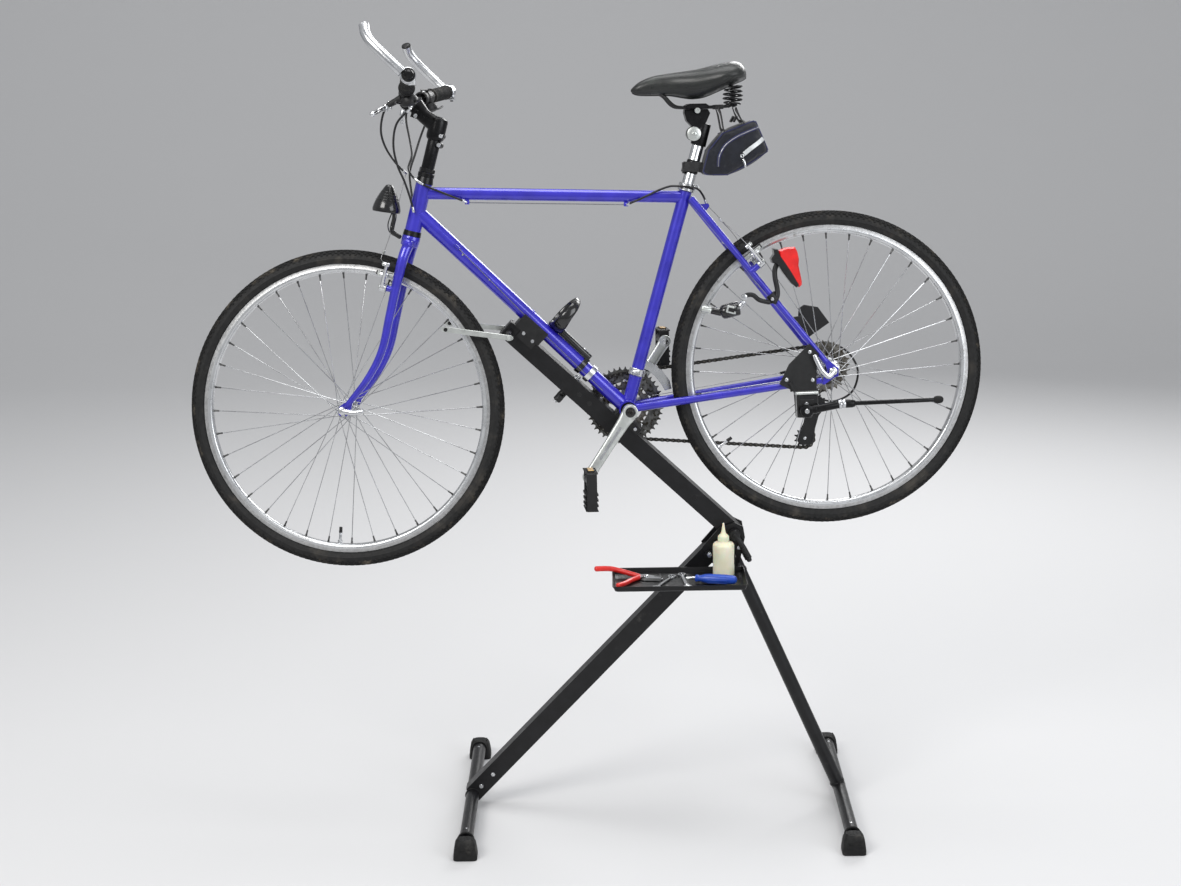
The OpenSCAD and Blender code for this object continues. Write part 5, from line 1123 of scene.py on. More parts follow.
# ------------------------------------------------------------------ frame pieces
def ssa(s):
    return vec(147, s * 18, 462)
def ssb(s):
    return vec(436, s * 69, 98)
def dtp(l, h, y=0):
    return DT * l + DN * h + vec(0, y, 0)
m = Mesh(bike)
# base rail, clamp band and the broad arms round the bottle
m.slab([[134, -7], [252, -7], [258, 0], [252, 7], [134, 7]], 16.8, 21, 1.2, 0, ax=(DT, Y_, DN))
m.rod(dtp(137, 25), dtp(250, 25), 7.0, 8.0, 26, 2.0, 0)
m.ring(DT * 135, DT, 16.6, 19.5, 0, 12, 44, 0.8, 0)
for l in (160, 220):
    m.bolt(dtp(l, 31), DN, 4.4, 3, 1)
for s in (-1, 1):
    m.tube(smooth([dtp(240, 22, s * 5), dtp(240, 27, s * 18), dtp(241, 40, s * 34), dtp(243, 58, s * 40), dtp(244, 84, s * 33), dtp(245, 98, s * 12)], 7), [7.0, 2.8], 22, flat=2.7, ref=DT)
m.tube(smooth([dtp(245, 98, -13), dtp(246, 101, 0), dtp(245, 98, 13)], 6), 2.8, 18, flat=2.6, ref=DT)
make("bottle_cage_frame", m, "boom", [plastic_gloss, silver], rep=("bottle_cage",), angle=40)

m = Mesh(bike)
d_ss = ssb(-1) - ssa(-1)
# kickstand bracket: back plate, block with its bright top strip, clamp pads
m.slab([[330, 52], [352, 96], [398, 140], [418, 118], [412, 74], [414, 4], [396, -22], [366, -20], [362, 36]], -78, -73, 1.0, 0)
m.slab([[366, -20], [396, -22], [412, 4], [412, 30], [364, 30]], -100, -78.1, 2.0, 1)
m.slab([[372, -12], [392, -13], [403, 4], [403, 20], [371, 20]], -101.2, -99.5, 0.8, 0)
m.box(vec(388, -89, 33), (50, 24, 6), 1.2, 3, rotm(Y_, -1))
m.box(vec(360, -77, 44), (8, 10, 26), 1.0, 0, rotm(Y_, -30))
m.bolt(vec(386, -101.2, 10), -Y_, 4.2, 2.4, 2)
for p in ((398, 122), (346, 62), (404, 60)):
    m.bolt(vec(p[0], -78, p[1]), -Y_, 4.6, 2.8, 2, False)
m.slab([[356, 34], [414, 46], [414, 70], [352, 60]], -73, -66, 1.0, 0)
# clamp of the dynamo and tail light, with two curved arms
ca_ = ssa(-1) + d_ss * 0.585
cb_ = ssa(-1) + d_ss * 0.625
m.ring(ca_, unit(d_ss), 7.6, 12, 0, np.linalg.norm(cb_ - ca_), 32, 1.0, 0)
m.bolt((ca_ + cb_) / 2 + vec(-3, -11.5, -3), -Y_, 4, 3, 2, False)
m.tube(smooth([[324, -57, 232], [331, -54, 246], [331, -52, 262], [327, -50, 284], [327, -48, 302], [332, -48, 316]], 7), 5.6, 18, 0, flat=0.8, ref=Y_)
m.tube(smooth([[312, -58, 232], [290, -62, 238], [276, -64, 249], [264, -64, 250], [256, -64, 246]], 7), 5.2, 18, 0, flat=0.8, ref=Y_)
m.rod(vec(256, -70, 246), vec(256, -57, 246), 6, mat=2, n=24)
# tail light: black back shell and red ribbed lens
back = [[331, 349], [322, 350], [324, 337], [317, 327], [320, 318], [331, 316], [341, 299], [360, 273], [373, 263], [379, 268], [360, 300], [347, 320], [338, 332]]
m.slab(back, -62, -34, 1.6, 1)
lens = [[334, 345], [350, 351], [370, 352], [376, 341], [379, 325], [378, 311], [385, 277], [385, 268], [379, 263], [371, 269], [356, 297], [345, 317], [336, 330]]
m.slab(lens, -60.5, -35.5, 3.2, 4)
for k in range(5):
    z = 334 - 13 * k
    xo = [376, 377, 378, 381, 384][k]
    m.box(vec(xo - 4, -48, z), (8, 20, 1.6), 0.6, 4, rotm(Y_, 8))
m.rod(vec(330, -54, 322), vec(330, -42, 322), 6.4, mat=0, n=22)
# plate on the far stay
m.slab([[400, 206], [412, 214], [444, 208], [470, 172], [424, 141], [398, 172]], 72, 76, 0.8, 0)
m.slab([[405, 203], [414, 209], [440, 203], [462, 172], [424, 148], [404, 174]], 75.9, 77.2, 0.6, 1)
m.slab([[372, 186], [410, 190], [410, 164], [384, 168]], 66, 72, 0.8, 0)
m.bolt(vec(392, 72, 177), -Y_, 3.6, 2.4, 2)
make("stay_bracket_set", m, "boom", [plastic_black, plastic_gloss, silver, silver_satin, red_lens], rep=("stay_brackets",), angle=34)

m = Mesh(bike)
KP = vec(384, -96, -4)
m.rod(vec(384, -119, -4), vec(384, -100.4, -4), 14, 13.4, 36, 1.2, 0)
m.rod(vec(384, -112, -4), vec(384, -90.2, -4), 7, mat=1)
m.bolt(vec(384, -119, -4), -Y_, 5.4, 3.2, 1)
m.rod(vec(388, -110, -3), vec(456, -110, 8), 9.6, 8.6, 32, 1.0, 0)
m.rod(vec(400, -110, -1), vec(406, -110, 0), 10.4, 10.2, 32, 0.8, 0)
m.rod(vec(455, -110, 8), vec(462, -110, 9), 10.2, 10.2, 32, 0.8, 1)
m.rod(vec(463, -110, 9), vec(470, -110, 9.4), 10.0, 9.6, 32, 0.8, 1)
m.lathe(vec(469, -110, 9.2), vec(1, 0, 0.016), [(9, 0), (9.4, 2), (9.2, 16), (7.6, 22), (5.4, 24)], 30, 0)
m.rod(vec(490, -110, 9.6), vec(672, -110, 12), 5.0, 4.8, 24, 0.5, 0)
m.lathe(vec(668, -110, 12), vec(1, 0, 0), [(4.8, -1), (7.4, 2), (8.6, 7), (8.4, 13), (6.6, 18), (3, 20.4), (0.2, 20.8)], 28, 2)
make("kickstand_set", m, "kickstand", [alloy_black, silver, rubber], rep=("kickstand_leg",), angle=34)

m = Mesh(bike)
m.rod(vec(256, -64, 236), vec(244, -64, 222), 6, mat=1)
a, b = vec(246, -62, 222), vec(206, -58, 212)
d = unit(b - a)
L = np.linalg.norm(b - a)
m.lathe(a, d, [(0.5, 0), (11, 0), (14.6, 1.6), (16, 4), (16, L - 8), (15.2, L - 3), (12.4, L), (9, L + 2), (0.5, L + 2)], 44, 0)
u, w, dd = frame_of(d, Y_)
for s in (-1,):
    m.box((a + b) / 2 + vec(0, s * 14.8, 2), (22, 3.2, 16), 1.0, 2, rotm(Y_, 14))
    m.box((a + b) / 2 + vec(0, s * 16.2, 2), (14, 1.4, 9), 0.5, 0, rotm(Y_, 14))
    for k in (-9, 9):
        m.bolt((a + b) / 2 + vec(k, s * 15.6, 9), Y_ * s, 1.8, 1.4, 1)
for k in range(6):
    m.ring(a + d * (6 + 5 * k), d, 15.4, 16.35, 0, 1.4, 44, 0.3, 0)
a2, b2 = vec(206, -58, 212), vec(184, -56, 217)
m.rod(a2, b2, 8, 7.2, 30, 0.8, 0)
rd = unit(vec(162, -54, 222) - b2)
m.lathe(b2, rd, [(4, 0), (8.0, 0.6), (8.6, 2), (8.6, 19), (8.0, 21.4), (4.4, 22.6), (2.4, 23.2), (0.2, 23.2)], 30, 3)
for k in range(12):
    t = 2 * math.pi * k / 12
    u2, w2, _ = frame_of(rd)
    q = b2 + (u2 * math.cos(t) + w2 * math.sin(t)) * 8.5
    m.rod(q + rd * 3, q + rd * 18.5, 0.8, mat=3, n=6, b=0.2)
m.bolt(vec(252, -70, 232), -Y_, 4, 3, 1, False)
m.tube(smooth([vec(250, -58, 222), vec(262, -58, 216), vec(282, -58, 222), vec(300, -60, 234), vec(311, -62, 240)], 5), 1.2, 8, 0) if False else None
make("dynamo_bottle", m, "dynamo", [plastic_gloss, silver, silver_satin, silver_satin], rep=("dynamo",), angle=34)

m = Mesh(bike)
m.rod(HUBR + Y_ * -76, HUBR + Y_ * 76, 4.9, mat=1)
m.rod(HUBR + Y_ * -64.4, HUBR + Y_ * 64.4, 5.0, mat=1)
m.lathe(HUBR + Y_ * -70.6, -Y_, [(9.4, 0), (9.8, 1), (9.8, 4), (8.8, 8), (8.4, 12), (6, 13.4)], 30, 0)
m.lathe(HUBR + Y_ * 70.6, Y_, [(9, 0), (9.4, 1), (9.4, 3), (7.4, 5), (6.6, 9), (4, 9.4)], 30, 0)
m.tube(smooth([[450, -82, 78], [438, -87, 68], [424, -88, 80], [414, -88, 98], [407, -88, 114]], 8), [6.4, 4.8], 18, 0, flat=0.6, ref=Y_)
for s, y in ((-1, -46), (1, 20)):
    m.ring(HUBR + Y_ * (s * 62.5), Y_ * s, 5.1, 8.8, 0, 1.8, 6, 0.4, 1)
make("axle_rear_set", m, "boom", [silver, chain_m], rep=("rear_axle",), angle=34)

m = Mesh(bike)
c1 = smooth([[-446, -22.4, 510.4], [-423, -21.5, 498], [-378, -19.5, 479], [-345, -11, 465]], 9)
m.tube(c1, 2.4, 12, 0, ends="bevel")
m.tube(smooth([[-344, -7, 463.6], [-200, -6, 458.2], [4, -6, 451]], 4), 1.0, 8, 3)
c3 = smooth([[6, -8, 451], [18, -16, 456], [40, -19.5, 465], [77, -13, 481], [102, -15, 489], [121, -22, 489], [142, -26, 487], [162, -21, 482], [175, -7, 468], [184, 0, 449]], 9)
m.tube(c3, 2.4, 12, 0, ends="bevel")
c2 = smooth([[428, 78, 122], [466, 80, 126], [510, 80, 106], [536, 80, 62], [524, 79, 14], [484, 78, -8], [448, 78, -2]], 9)
m.tube(c2, 2.5, 12, 0, ends="bevel")
for c in (c1, c3, c2):
    for e, f in ((0, 2), (-1, -3)):
        dd = unit(c[e] - c[f])
        m.rod(c[e] - dd * 10, c[e] + dd * 1.6, 3.1, 3.0, 18, 0.5, 1)
# stops and clips on the top tube
for x, z in ((-343, 463.6), (5, 451.2)):
    m.ring(vec(x, -7, z), unit(vec(1, 0, -0.036)), 1.2, 4.2, -5, 5, 20, 0.5, 2)
    m.box(vec(x, -7, z + 4), (9, 3, 5), 0.8, 2)
# small tab on the bridge of the stays, wire, yoke and the straddle wires to both brakes
m.slab([[164, 436], [168, 448], [188, 449], [190, 443], [180, 430], [170, 427]], -5, 5, 1.2, 2)
m.rod(vec(171, -21, 433), vec(171, 21, 433), 4.2, mat=2, n=20)
yk = vec(215, 0, 412)
m.tube([vec(184, 0, 446), vec(200, 0, 430), yk + vec(-2, 0, 4)], 0.85, 8, 3)
m.slab([[-9, 5], [9, 5], [6, -5], [-6, -5]], -2.4, 2.4, 0.5, 1, o=yk, ax=(Y_, RU, RBX))
for s in (-1, 1):
    tip = vec(RBP[0], s * 65, RBP[2]) + RU * 51 + RBX * 5
    m.tube(smooth([yk + vec(0, s * 5, 0), (yk + tip) / 2 + vec(0, 0, 3), tip], 5), 0.8, 8, 3)
# gear wire along the chain stay, its stop, and the housing up to the rear derailleur
for s in (-1, 1):
    m.tube([dtp(560, -16.9, s * 7), dtp(300, -17.3, s * 7), dtp(60, -18.0, s * 6)], 0.7, 8, 3) if False else None
m.tube(smooth([vec(60, 36.5, 22), vec(200, 52.0, 40), vec(330, 67.0, 58), vec(360, 71, 60)], 4), 0.8, 8, 3)
m.rod(vec(356, 70.5, 60), vec(384, 74.5, 66), 3.2, mat=0, n=16)
m.tube(smooth([vec(380, 74, 65), vec(404, 77, 84), vec(428, 78, 122)], 6), 2.4, 12, 0)
# wire from the bottom bracket up to the front derailleur
m.tube([vec(8, 17, 20), ST * 70 + vec(18, 22, 0)], 0.8, 8, 3)
make("frame_cable_runs", m, "boom", [cable_m, silver, blue, wire_m], rep=("frame_cables",), angle=40)

# small fittings on the frame
m = Mesh(bike)
def bead(c, d, r, w=1.6, n=46, mat=0, lo=0.0, hi=2 * math.pi):
    u, v, d = frame_of(d)
    for k in range(n):
        t = lo + (hi - lo) * k / n
        m.ball(np.asarray(c, float) + (u * math.cos(t) + v * math.sin(t)) * r, w, 6, mat, (1, 1, 1))
for s in (-1, 1):
    m.ring(vec(0, s * 33.2, 0), Y_ * s, 17.6, 20.8, 0, 1.0, 48, 0.3, 0)
m.rod(DT * 300 + DN * 15.5, DT * 300 + DN * 17.4, 5, mat=0, n=24)
for l in (420, 500):
    m.bolt(DT * l - DN * 0 + vec(0, -16.2, 0), -Y_, 2.2, 1.2, 1)
for p in (vec(436, -76, 108), vec(436, 70.5, 108)):
    pass
# brazed stops on the down tube for the gear wires
for s in (-1, 1):
    m.ring(dtp(520, 4, s * 18.5), DT, 1.6, 3.6, -6, 6, 20, 0.5, 0)
    m.tube([dtp(516, 4, s * 18.6), dtp(300, -4, s * 18.4), dtp(70, -8, s * 18.0)], 0.75, 8, 2)
make("frame_small_parts", m, "boom", [blue, silver, wire_m], angle=34)

# ------------------------------------------------------------------ stand pieces
def G(o):
    return lambda p: ground(np.asarray(p, float) + o)
m = Mesh(ground)
for s in (-1, 1):
    for cx_ in (-288, 561):
        pass
def feet(name, x, body, node):
    m = Mesh(ground)
    for s in (-1, 1):
        yc = s * 607 / 2
        rs = []
        for z, hx, hy, r in ((0, 24.5, 22.6, 7), (1.2, 26, 24, 8), (9, 26, 24, 9), (22, 24.6, 23.2, 10), (34, 22.6, 21.8, 11), (40, 19.6, 19.4, 11), (43.6, 15, 15.4, 10), (44.0, 12, 13, 9)):
            ring_ = []
            for qx, qy in ((1, 1), (-1, 1), (-1, -1), (1, -1)):
                a0 = {(1, 1): 0, (-1, 1): 90, (-1, -1): 180, (1, -1): 270}[(qx, qy)]
                for k in range(6):
                    a = math.radians(a0 + 18 * k)
                    ring_.append([x + qx * (hx - r) + r * math.cos(a), yc + qy * (hy - r) + r * math.sin(a), z])
            rs.append(np.array(ring_))
        m.rings(rs, 0)
        # collar where the tube goes in, and ribs on the outside
        m.ring(vec(x, yc - s * 24, 30), -Y_ * s, 15.1, 19, -1, 4, 40, 1.0, 0)
        for k in range(3):
            m.box(vec(x, yc + s * 23.4, 10 + 8 * k), (30, 1.6, 2.2), 0.5, 0)
        for k in range(5):
            m.box(vec(x - 16 + 8 * k, yc, 44.0), (2.2, 18, 1.4), 0.4, 0)
    return make(name, m, body, [rubber], rep=(node,), angle=34)
feet("feet_rear", 561, "stand", "rear_feet")
feet("feet_front", -288, "front_leg", "front_feet")

FLP, FLF, RLF, RLT = vec(262, 0, 602), vec(-288, 0, 30), vec(561, 0, 30), vec(309, 0, 606)
fd_ = unit(FLP - FLF)
fn_ = vec(-fd_[2], 0, fd_[0])
m = Mesh(ground)
# bolts through the lower end of the front leg, weld collar, and a wear sleeve
for l, s in ((70, -1), (30, -1), (70, 1), (30, 1)):
    m.bolt(FLF + fd_ * l + Y_ * s * 20, Y_ * s, 5.2, 3.2, 0, l == 30)
for s in (-1, 1):
    m.ring(FLF + Y_ * s * 20.5, Y_ * s, 15.1, 17.2, 0, 3, 40, 1.2, 1)
for s in (-1, 1):
    m.bolt(FLF + Y_ * s * 250 + vec(0, 0, 15), Z_, 2.6, 1.4, 0)
make("front_leg_bolts", m, "front_leg", [silver, steel_black], angle=34)
m = Mesh(ground)
rd_ = unit(RLT - RLF)
m.ring(RLF + rd_ * 11, rd_, 15.6, 17.4, 0, 5, 40, 1.6, 1)
for s in (-1, 1):
    m.bolt(RLF + Y_ * s * 250 + vec(0, 0, 15), Z_, 2.6, 1.4, 0)
# head: bolts, washers, and the cap at the top of the leg
for s in (-1, 1):
    m.bolt(vec(262, s * 32, 602), Y_ * s, 6, 4, 0, False)
    m.bolt(vec(318, s * 26, 596), Y_ * s, 4.4, 3, 0, True)
    m.bolt(vec(328, s * 26, 616), Y_ * s, 4.4, 3, 0, True)
m.rod(RLT + rd_ * -60, RLT + rd_ * -52, 16.8, 16.8, 40, 1.0, 1)
make("stand_bolts", m, "stand", [silver, steel_black], angle=34)

m = Mesh(ground)
R0 = np.stack([-BD, Y_, BN], 1)
def ab(l, y, h):
    return PIV + BD * l + Y_ * y + BN * h
# end caps, adjusting holes and bolts along the boom, cradle screws
m.box(ab(689, 0, 0), (5, 37, 37), 2.0, 1, np.stack([BD, Y_, BN], 1))
for s in (-1, 1):
    for l in (628, 654):
        m.bolt(ab(l, s * 24, 20), Y_ * s, 4.2, 2.8, 0)
    for l in (328, 370):
        m.bolt(ab(l, s * 32, 28), Y_ * s, 4.2, 2.8, 0)
    m.bolt(ab(120, s * 20, 0), Y_ * s, 3.6, 2.0, 1)
    for l in (440, 470):
        m.lathe(ab(l, s * 20, 0), Y_ * s, [(5.5, 0), (5.5, 0.5), (3.4, 0.5), (3.4, 0.2), (0.1, 0.2)], 24, 1)
# hook, its nut and washer above the boom
m.lathe(ab(497, 0, 20), BN, [(9, 0), (9, 1.6), (4.4, 1.6)], 28, 0)
m.rod(ab(497, 0, 22), ab(497, 0, 28), 6.2, 6.2, 6, 0.4, 0)
make("boom_fittings", m, "boom", [silver, plastic_black], angle=34)

m = Mesh(ground)
# wing handle under the boom, blades rounded, with the thin pin
c = HOOK - BN * 84
m.lathe(HOOK - BN * 96, BN, [(0.4, -1), (7, -0.6), (9, 1), (9, 24), (8, 26), (4.2, 26)], 30, 0)
for s in (-1, 1):
    pts = [[5, -6.5], [22, -5.5], [31, -8], [34, -3], [34, 4], [30, 7.5], [18, 7], [5, 8]]
    m.slab([[s * p[0], p[1]] for p in pts], -5.4, 5.4, 1.8, 0, o=c, ax=(Y_, BN, np.cross(Y_, BN)))
make("wing_knob", m, "wing_handle", [plastic_black, silver], rep=("wing_handle",), angle=36)

m = Mesh(ground)
m.rod(PIV + Y_ * -33, PIV + Y_ * 33, 6, mat=1)
m.lathe(PIV + Y_ * -26.2, -Y_, [(12.4, 0), (12.8, 1.5), (12.8, 12), (11.4, 15.4), (5, 15.8), (5, 13.4), (0.1, 13.4)], 32, 0)
m.lathe(PIV + Y_ * 26.2, Y_, [(10.8, 0), (11, 1), (11, 4.6), (10, 5.8), (0.1, 5.8)], 6, 1)
m.tube(smooth([PIV + vec(0, -36, 0), PIV + vec(9, -37, -12), PIV + vec(22, -38, -34), PIV + vec(33, -38, -58)], 7), [7.4, 5.8], 20, 0, flat=0.8, ref=Y_, power=2.6)
for k in range(7):
    t = 0.42 + 0.08 * k
    p = PIV + vec(9, -37, -12) * (1 - t) + vec(33, -38, -58) * t
    q = PIV + vec(9 + 24 * t, -37.5, -12 - 46 * t)
    dd = unit(vec(24, 0, -46))
    m.ring(q, dd, 5.2, 8.4, -1.5, 1.5, 14, 0.6, 0)
make("tilt_lever", m, "tilt_handle", [plastic_black, silver], rep=("tilt_handle",), angle=36)

m = Mesh(ground)
m.rod(WR + Y_ * -88, WR + Y_ * 31, 4, mat=0)
m.rod(WR + Y_ * -83.5, WR + Y_ * -20.3, 8, mat=1)
m.bolt(WR + Y_ * -88, -Y_, 6.4, 3.6, 0, False)
m.bolt(WR + Y_ * 30.5, Y_, 6.4, 3.6, 0, False)
def arm(o, yaw):
    Rm = rotm(Z_, yaw) @ rotm(Y_, -8.5)
    ends = [[-4, -6], [-9, -3.4], [-10.4, 0], [-9, 3.4], [-4, 6], [143, 6], [148.5, 3.4], [150, 0], [148.5, -3.4], [143, -6]]
    return Rm, ends
for o, y0, yaw in ((WR, 82, 180), (WR + vec(0, 26, 0), -1.5, 191.6)):
    Rm, ends = arm(o, yaw)
    m.slab(ends, y0, y0 + 3, 0.7, 0, o=o, ax=(Rm[:, 0], Rm[:, 2], Rm[:, 1]))
    e = o + Rm @ vec(138, y0 + 1.5, 0)
    m.rod(e - Rm[:, 1] * 3.6, e + Rm[:, 1] * 3.6, 4.2, mat=2, n=24)
make("restraint_arms", m, "wheel_restraint", [silver_satin, steel_black, rubber], rep=("wheel_restraint",), angle=34)

# tray: pressed sheet with a rolled rim, tab and screws
m = Mesh(ground)
TX0, TY, TD, TZ = 43.0, -103.0, 148.0, 561.0
def tray_ring(xa, xb, y, z, r=6):
    pts = []
    for cx_, cy_, a0 in ((xb - r, TY + y - r, 0), (xa + r, TY + y - r, 90), (xa + r, TY - y + r, 180), (xb - r, TY - y + r, 270)):
        for k in range(6):
            a = math.radians(a0 + 18 * k)
            pts.append([cx_ + r * math.cos(a), cy_ + r * math.sin(a), z])
    return np.array(pts)
o_ = [tray_ring(TX0 + 8, 333, 71, TZ + 0.3), tray_ring(TX0 + 5.4, 334.6, 73, TZ + 1.4), tray_ring(TX0 + 1.2, 338.2, 73.6, TZ + 10), tray_ring(TX0 - 0.4, 339.6, 74.6, TZ + 11.2), tray_ring(TX0 - 0.2, 339.4, 74.4, TZ + 12.4),
      tray_ring(TX0 + 1.8, 337.4, 72.4, TZ + 12.2), tray_ring(TX0 + 3, 336.8, 71.8, TZ + 10), tray_ring(TX0 + 6.6, 333.6, 70.6, TZ + 3.2), tray_ring(TX0 + 9, 331.6, 68.6, TZ + 2)]
m.rings(o_, 0)
m.box(vec(298, -28, 582), (44, 4, 38), 1.0, 0)
for x in (286, 310):
    m.bolt(vec(x, -30, 592), -Y_, 4.4, 2.6, 1)
for x in (90, 150, 210, 270):
    m.box(vec(x, TY, TZ + 2.3), (4, 120, 0.8), 0.3, 0)
make("tray_pressing", m, "stand", [steel_black, silver], rep=("tool_tray",), angle=34)

# tools in the tray
m = Mesh(ground)
z = TZ + 2.1
m.tube(smooth([[8, -60, z + 18], [40, -60, z + 17.5], [70, -68, z + 12], [102, -84, z + 6.5]], 7), [6.2, 5.6], 18, 0, flat=0.9, ref=Y_)
m.tube(smooth([[56, -158, z + 8], [70, -140, z + 7], [86, -112, z + 6.5], [104, -92, z + 6.5]], 7), [6.2, 5.6], 18, 0, flat=0.9, ref=Z_)
Rm = rotm(Z_, -20)
pl = [[2, -8], [2, 7], [10, 9.5], [20, 11.5], [30, 10], [44, 6], [58, 3.6], [60, 0.4], [60, -1.4], [58, -6.4], [44, -8.4], [30, -10.8], [20, -11.5], [10, -10]]
m.slab(pl, 0, 9, 1.2, 1, o=vec(98, -86, z + 1), ax=(Rm[:, 0], Rm[:, 1], Rm[:, 2]))
m.rod(vec(98, -86, z + 1) + Rm @ vec(20, 0, 9), vec(98, -86, z + 1) + Rm @ vec(20, 0, 11), 6.2, mat=1, n=28)
m.box(vec(98, -86, z + 1) + Rm @ vec(50, -0.5, 9.0), (18, 0.7, 0.8), 0.2, 2, Rm)
def wrench(o, yaw, l):
    R = rotm(Z_, yaw)
    ax = (R[:, 0], R[:, 1], R[:, 2])
    head = lambda c, r, sg: [[c + sg * (-r * math.cos(a)), r * math.sin(a)] for a in np.linspace(-2.5, 2.5, 20)] if False else None
    P = []
    for a in np.linspace(math.radians(28), math.radians(332), 26):
        P.append([-9.4 * math.cos(a) if False else 9.6 * math.cos(a) * -1, 9.6 * math.sin(a)])
    P += [[-3.4, -4.2], [2.4, -4.2], [2.4, 4.2], [-3.4, 4.2]][::1]
    body = [[6, -3.6], [l - 7, -3.2], [l - 7, 3.2], [6, 3.6]]
    m.slab(body, 0.6, 4.4, 0.9, 3, o=o, ax=ax)
    jaw = []
    for a in np.linspace(math.radians(215), math.radians(505), 26):
        jaw.append([10.0 * math.cos(a), 10.0 * math.sin(a)])
    jaw += [[-2.0, 4.4], [0.8, 3.6], [0.8, -3.6], [-2.0, -4.4]]
    m.slab(jaw, 0, 5, 0.7, 3, o=o, ax=ax)
    m.ring(o + R @ vec(l, 0, 0), Z_, 5.4, 9.6, 0, 5.4, 30, 0.8, 3)
wrench(vec(140, -160, z), 66, 88)
wrench(vec(208, -158, z), 96, 92)
sv = unit(vec(92, -20, 0))
m.lathe(vec(226, -122, z + 11.5), sv, [(3, 0), (7, 0.6), (8.4, 4), (6.8, 9), (7.4, 14), (10.2, 22), (10.5, 34), (10.5, 74), (9.8, 84), (8, 90), (4, 93), (0.2, 93.4)], 30, 4)
for k in range(8):
    a = 2 * math.pi * k / 8
    q = (np.cross(sv, Z_) * math.cos(a) + Z_ * math.sin(a)) * 10.1
    m.rod(vec(226, -122, z + 11.5) + sv * 28 + q, vec(226, -122, z + 11.5) + sv * 72 + q, 1.1, mat=4, n=8)
m.rod(vec(226, -122, z + 11.5), vec(206, -117.7, z + 11.5), 3, 2.8, 18, 0.4, 1)
make("hand_tool_set", m, "stand", [red_plastic, chrome, steel_black, chrome, blue_plastic], rep=("hand_tools",), angle=36)

m = Mesh(ground)
bb = vec(292, -60, TZ + 2.1)
m.lathe(bb, Z_, [(0.5, 1.2), (17, 1.2), (18, 0.2), (22, 0), (23.6, 1.2), (24, 3.5), (24, 20), (23.5, 24), (23.5, 46), (24, 50), (24, 67), (23.2, 71.5), (20.5, 74.4), (14, 76.4), (11.4, 77.2),
      (11.8, 78.4), (11.8, 88), (11.2, 91), (9, 93), (6.6, 95), (5.0, 99), (3.4, 108), (2.2, 117), (1.9, 119.4), (0.3, 119.8)], 48, 0)
for k in range(20):
    a = 2 * math.pi * k / 20
    m.rod(bb + vec(11.7 * math.cos(a), 11.7 * math.sin(a), 79), bb + vec(11.7 * math.cos(a), 11.7 * math.sin(a), 89.5), 0.8, mat=0, n=6, b=0.2)
make("squeeze_bottle_shell", m, "stand", [ivory], rep=("squeeze_bottle",), angle=40)

# ------------------------------------------------------------------ finishes of the CAD nodes that stay
keep = {"stand_head": steel_black, "rear_leg": steel_black, "front_leg": steel_black, "boom_tube": steel_black, "boom_cradles": plastic_black, "clamp_hook": silver,
        "down_tube": blue, "top_tube": blue, "seat_tube": blue, "seat_stays": blue, "chain_stays": blue, "frame_fittings": alloy_black}
for n, mt in keep.items():
    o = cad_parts[n]
    o.data.materials.clear()
    o.data.materials.append(mt)
    for p in o.data.polygons:
        p.material_index = 0
# bright collar and quick-release over the seat cluster
m = Mesh(bike)
m.ring(ST * 497.4, ST, 14.5, 18.9, 0, 6.4, 44, 0.8, 0)
m.ring(ST * 505.6, ST, 14.5, 18.9, 0, 7.0, 44, 0.8, 0)
m.rod(ST * 505 + vec(20.5, -14, 0), ST * 505 + vec(20.5, 14, 0), 5.4, mat=0, n=26)
m.bolt(ST * 505 + vec(20.5, -14, 0), -Y_, 4.6, 3, 0)
make("seat_collar_rings", m, "boom", [silver], angle=34)

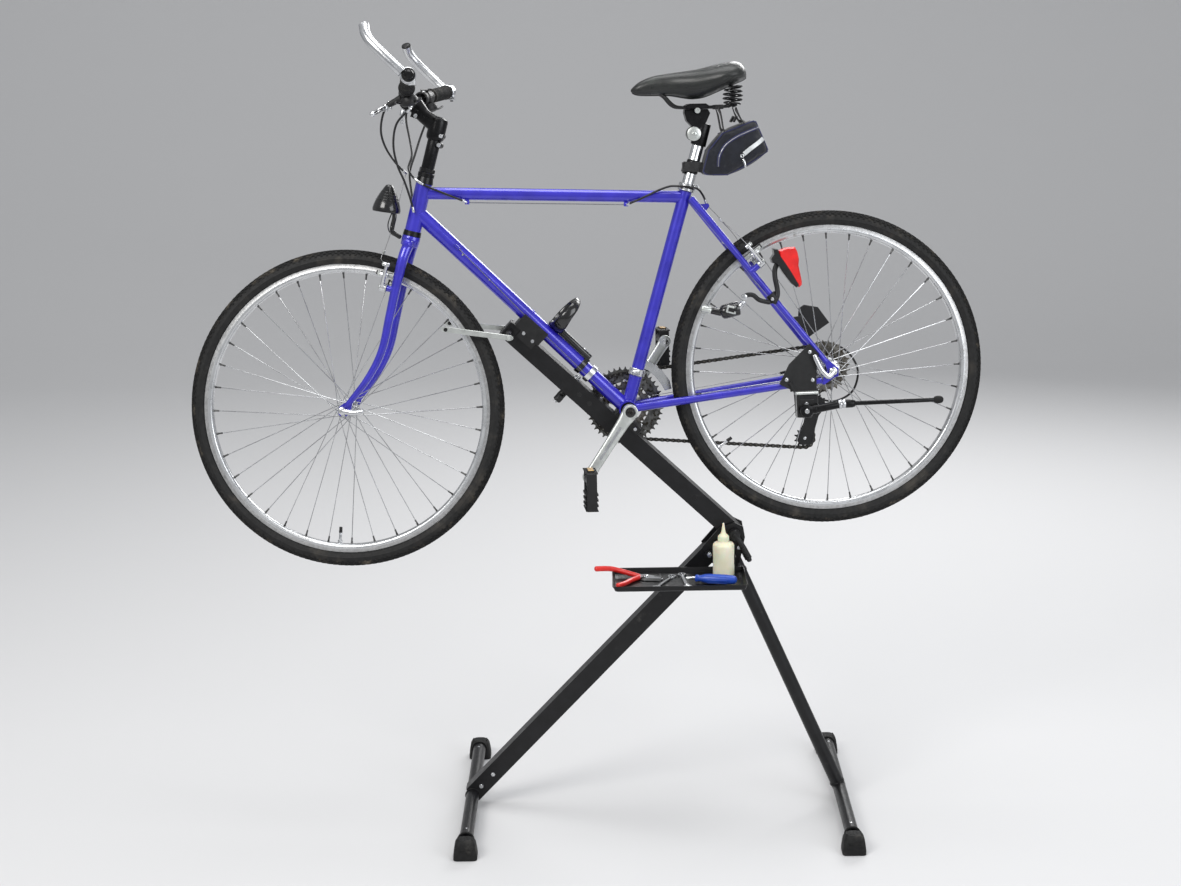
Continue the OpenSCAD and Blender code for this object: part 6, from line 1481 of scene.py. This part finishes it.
# ------------------------------------------------------------------ stage, light, camera
def stage_mat():
    s = bpy.data.materials.new("stage_floor")
    s.use_nodes = True
    bs = s.node_tree.nodes["Principled BSDF"]
    bs.inputs["Base Color"].default_value = (0.60, 0.60, 0.605, 1)
    bs.inputs["Roughness"].default_value = 0.75
    return s
me = bpy.data.meshes.new("floor")
N = 24
vv, ff = [], []
prof = [(-14, 0), (5.0, 0)] + [(5.0 + 3.0 * math.sin(math.radians(a)), 3.0 - 3.0 * math.cos(math.radians(a))) for a in range(10, 91, 10)] + [(8.0, 14)]
for y, zz in prof:
    vv += [(-16, y, zz), (16, y, zz)]
for i in range(len(prof) - 1):
    ff.append([2 * i, 2 * i + 1, 2 * i + 3, 2 * i + 2])
me.from_pydata(vv, [], ff)
me.materials.append(stage_mat())
me.shade_smooth()
floor = bpy.data.objects.new("floor", me)
scene.collection.objects.link(floor)

w = bpy.data.worlds.new("studio")
scene.world = w
w.use_nodes = True
w.node_tree.nodes["Background"].inputs["Color"].default_value = (0.95, 0.97, 1.0, 1)
w.node_tree.nodes["Background"].inputs["Strength"].default_value = 0.5
def area(name, loc, target, size, power, col=(1, 1, 1)):
    l = bpy.data.lights.new(name, "AREA")
    l.shape = "RECTANGLE"
    l.size, l.size_y = size
    l.energy = power
    l.color = col
    o = bpy.data.objects.new(name, l)
    scene.collection.objects.link(o)
    o.location = loc
    o.rotation_euler = (Vector(target) - Vector(loc)).to_track_quat("-Z", "Y").to_euler()
    return o
area("key", (-2.6, -3.6, 4.2), (0, 0, 0.9), (2.6, 2.0), 165, (1.0, 0.985, 0.96))
area("fill", (3.4, -3.2, 2.4), (0, 0, 0.9), (2.6, 2.6), 80, (0.95, 0.97, 1.0))
area("top", (0.2, 0.3, 4.6), (0, 0, 0.9), (3.2, 2.2), 100)
area("rim_light", (1.6, 3.6, 2.8), (0, 0, 1.0), (2.4, 1.6), 80)

scene.view_settings.view_transform = "Standard"
cam = bpy.data.cameras.new("camera")
cam.sensor_width, cam.lens, cam.sensor_fit = 36.0, 67.06, "HORIZONTAL"
co_ = bpy.data.objects.new("camera", cam)
scene.collection.objects.link(co_)
yaw, pitch, roll = math.radians(-0.539), math.radians(13.072), math.radians(1.036)
fwd = vec(math.sin(yaw) * math.cos(pitch), math.cos(yaw) * math.cos(pitch), -math.sin(pitch))
right = vec(math.cos(yaw), -math.sin(yaw), 0)
down = np.cross(fwd, right)
r2 = math.cos(roll) * right + math.sin(roll) * down
d2 = -math.sin(roll) * right + math.cos(roll) * down
co_.matrix_world = Matrix(((r2[0], -d2[0], -fwd[0], 0.0470), (r2[1], -d2[1], -fwd[1], -4.7947), (r2[2], -d2[2], -fwd[2], 1.9685), (0, 0, 0, 1)))
cam.clip_end = 60
scene.camera = co_
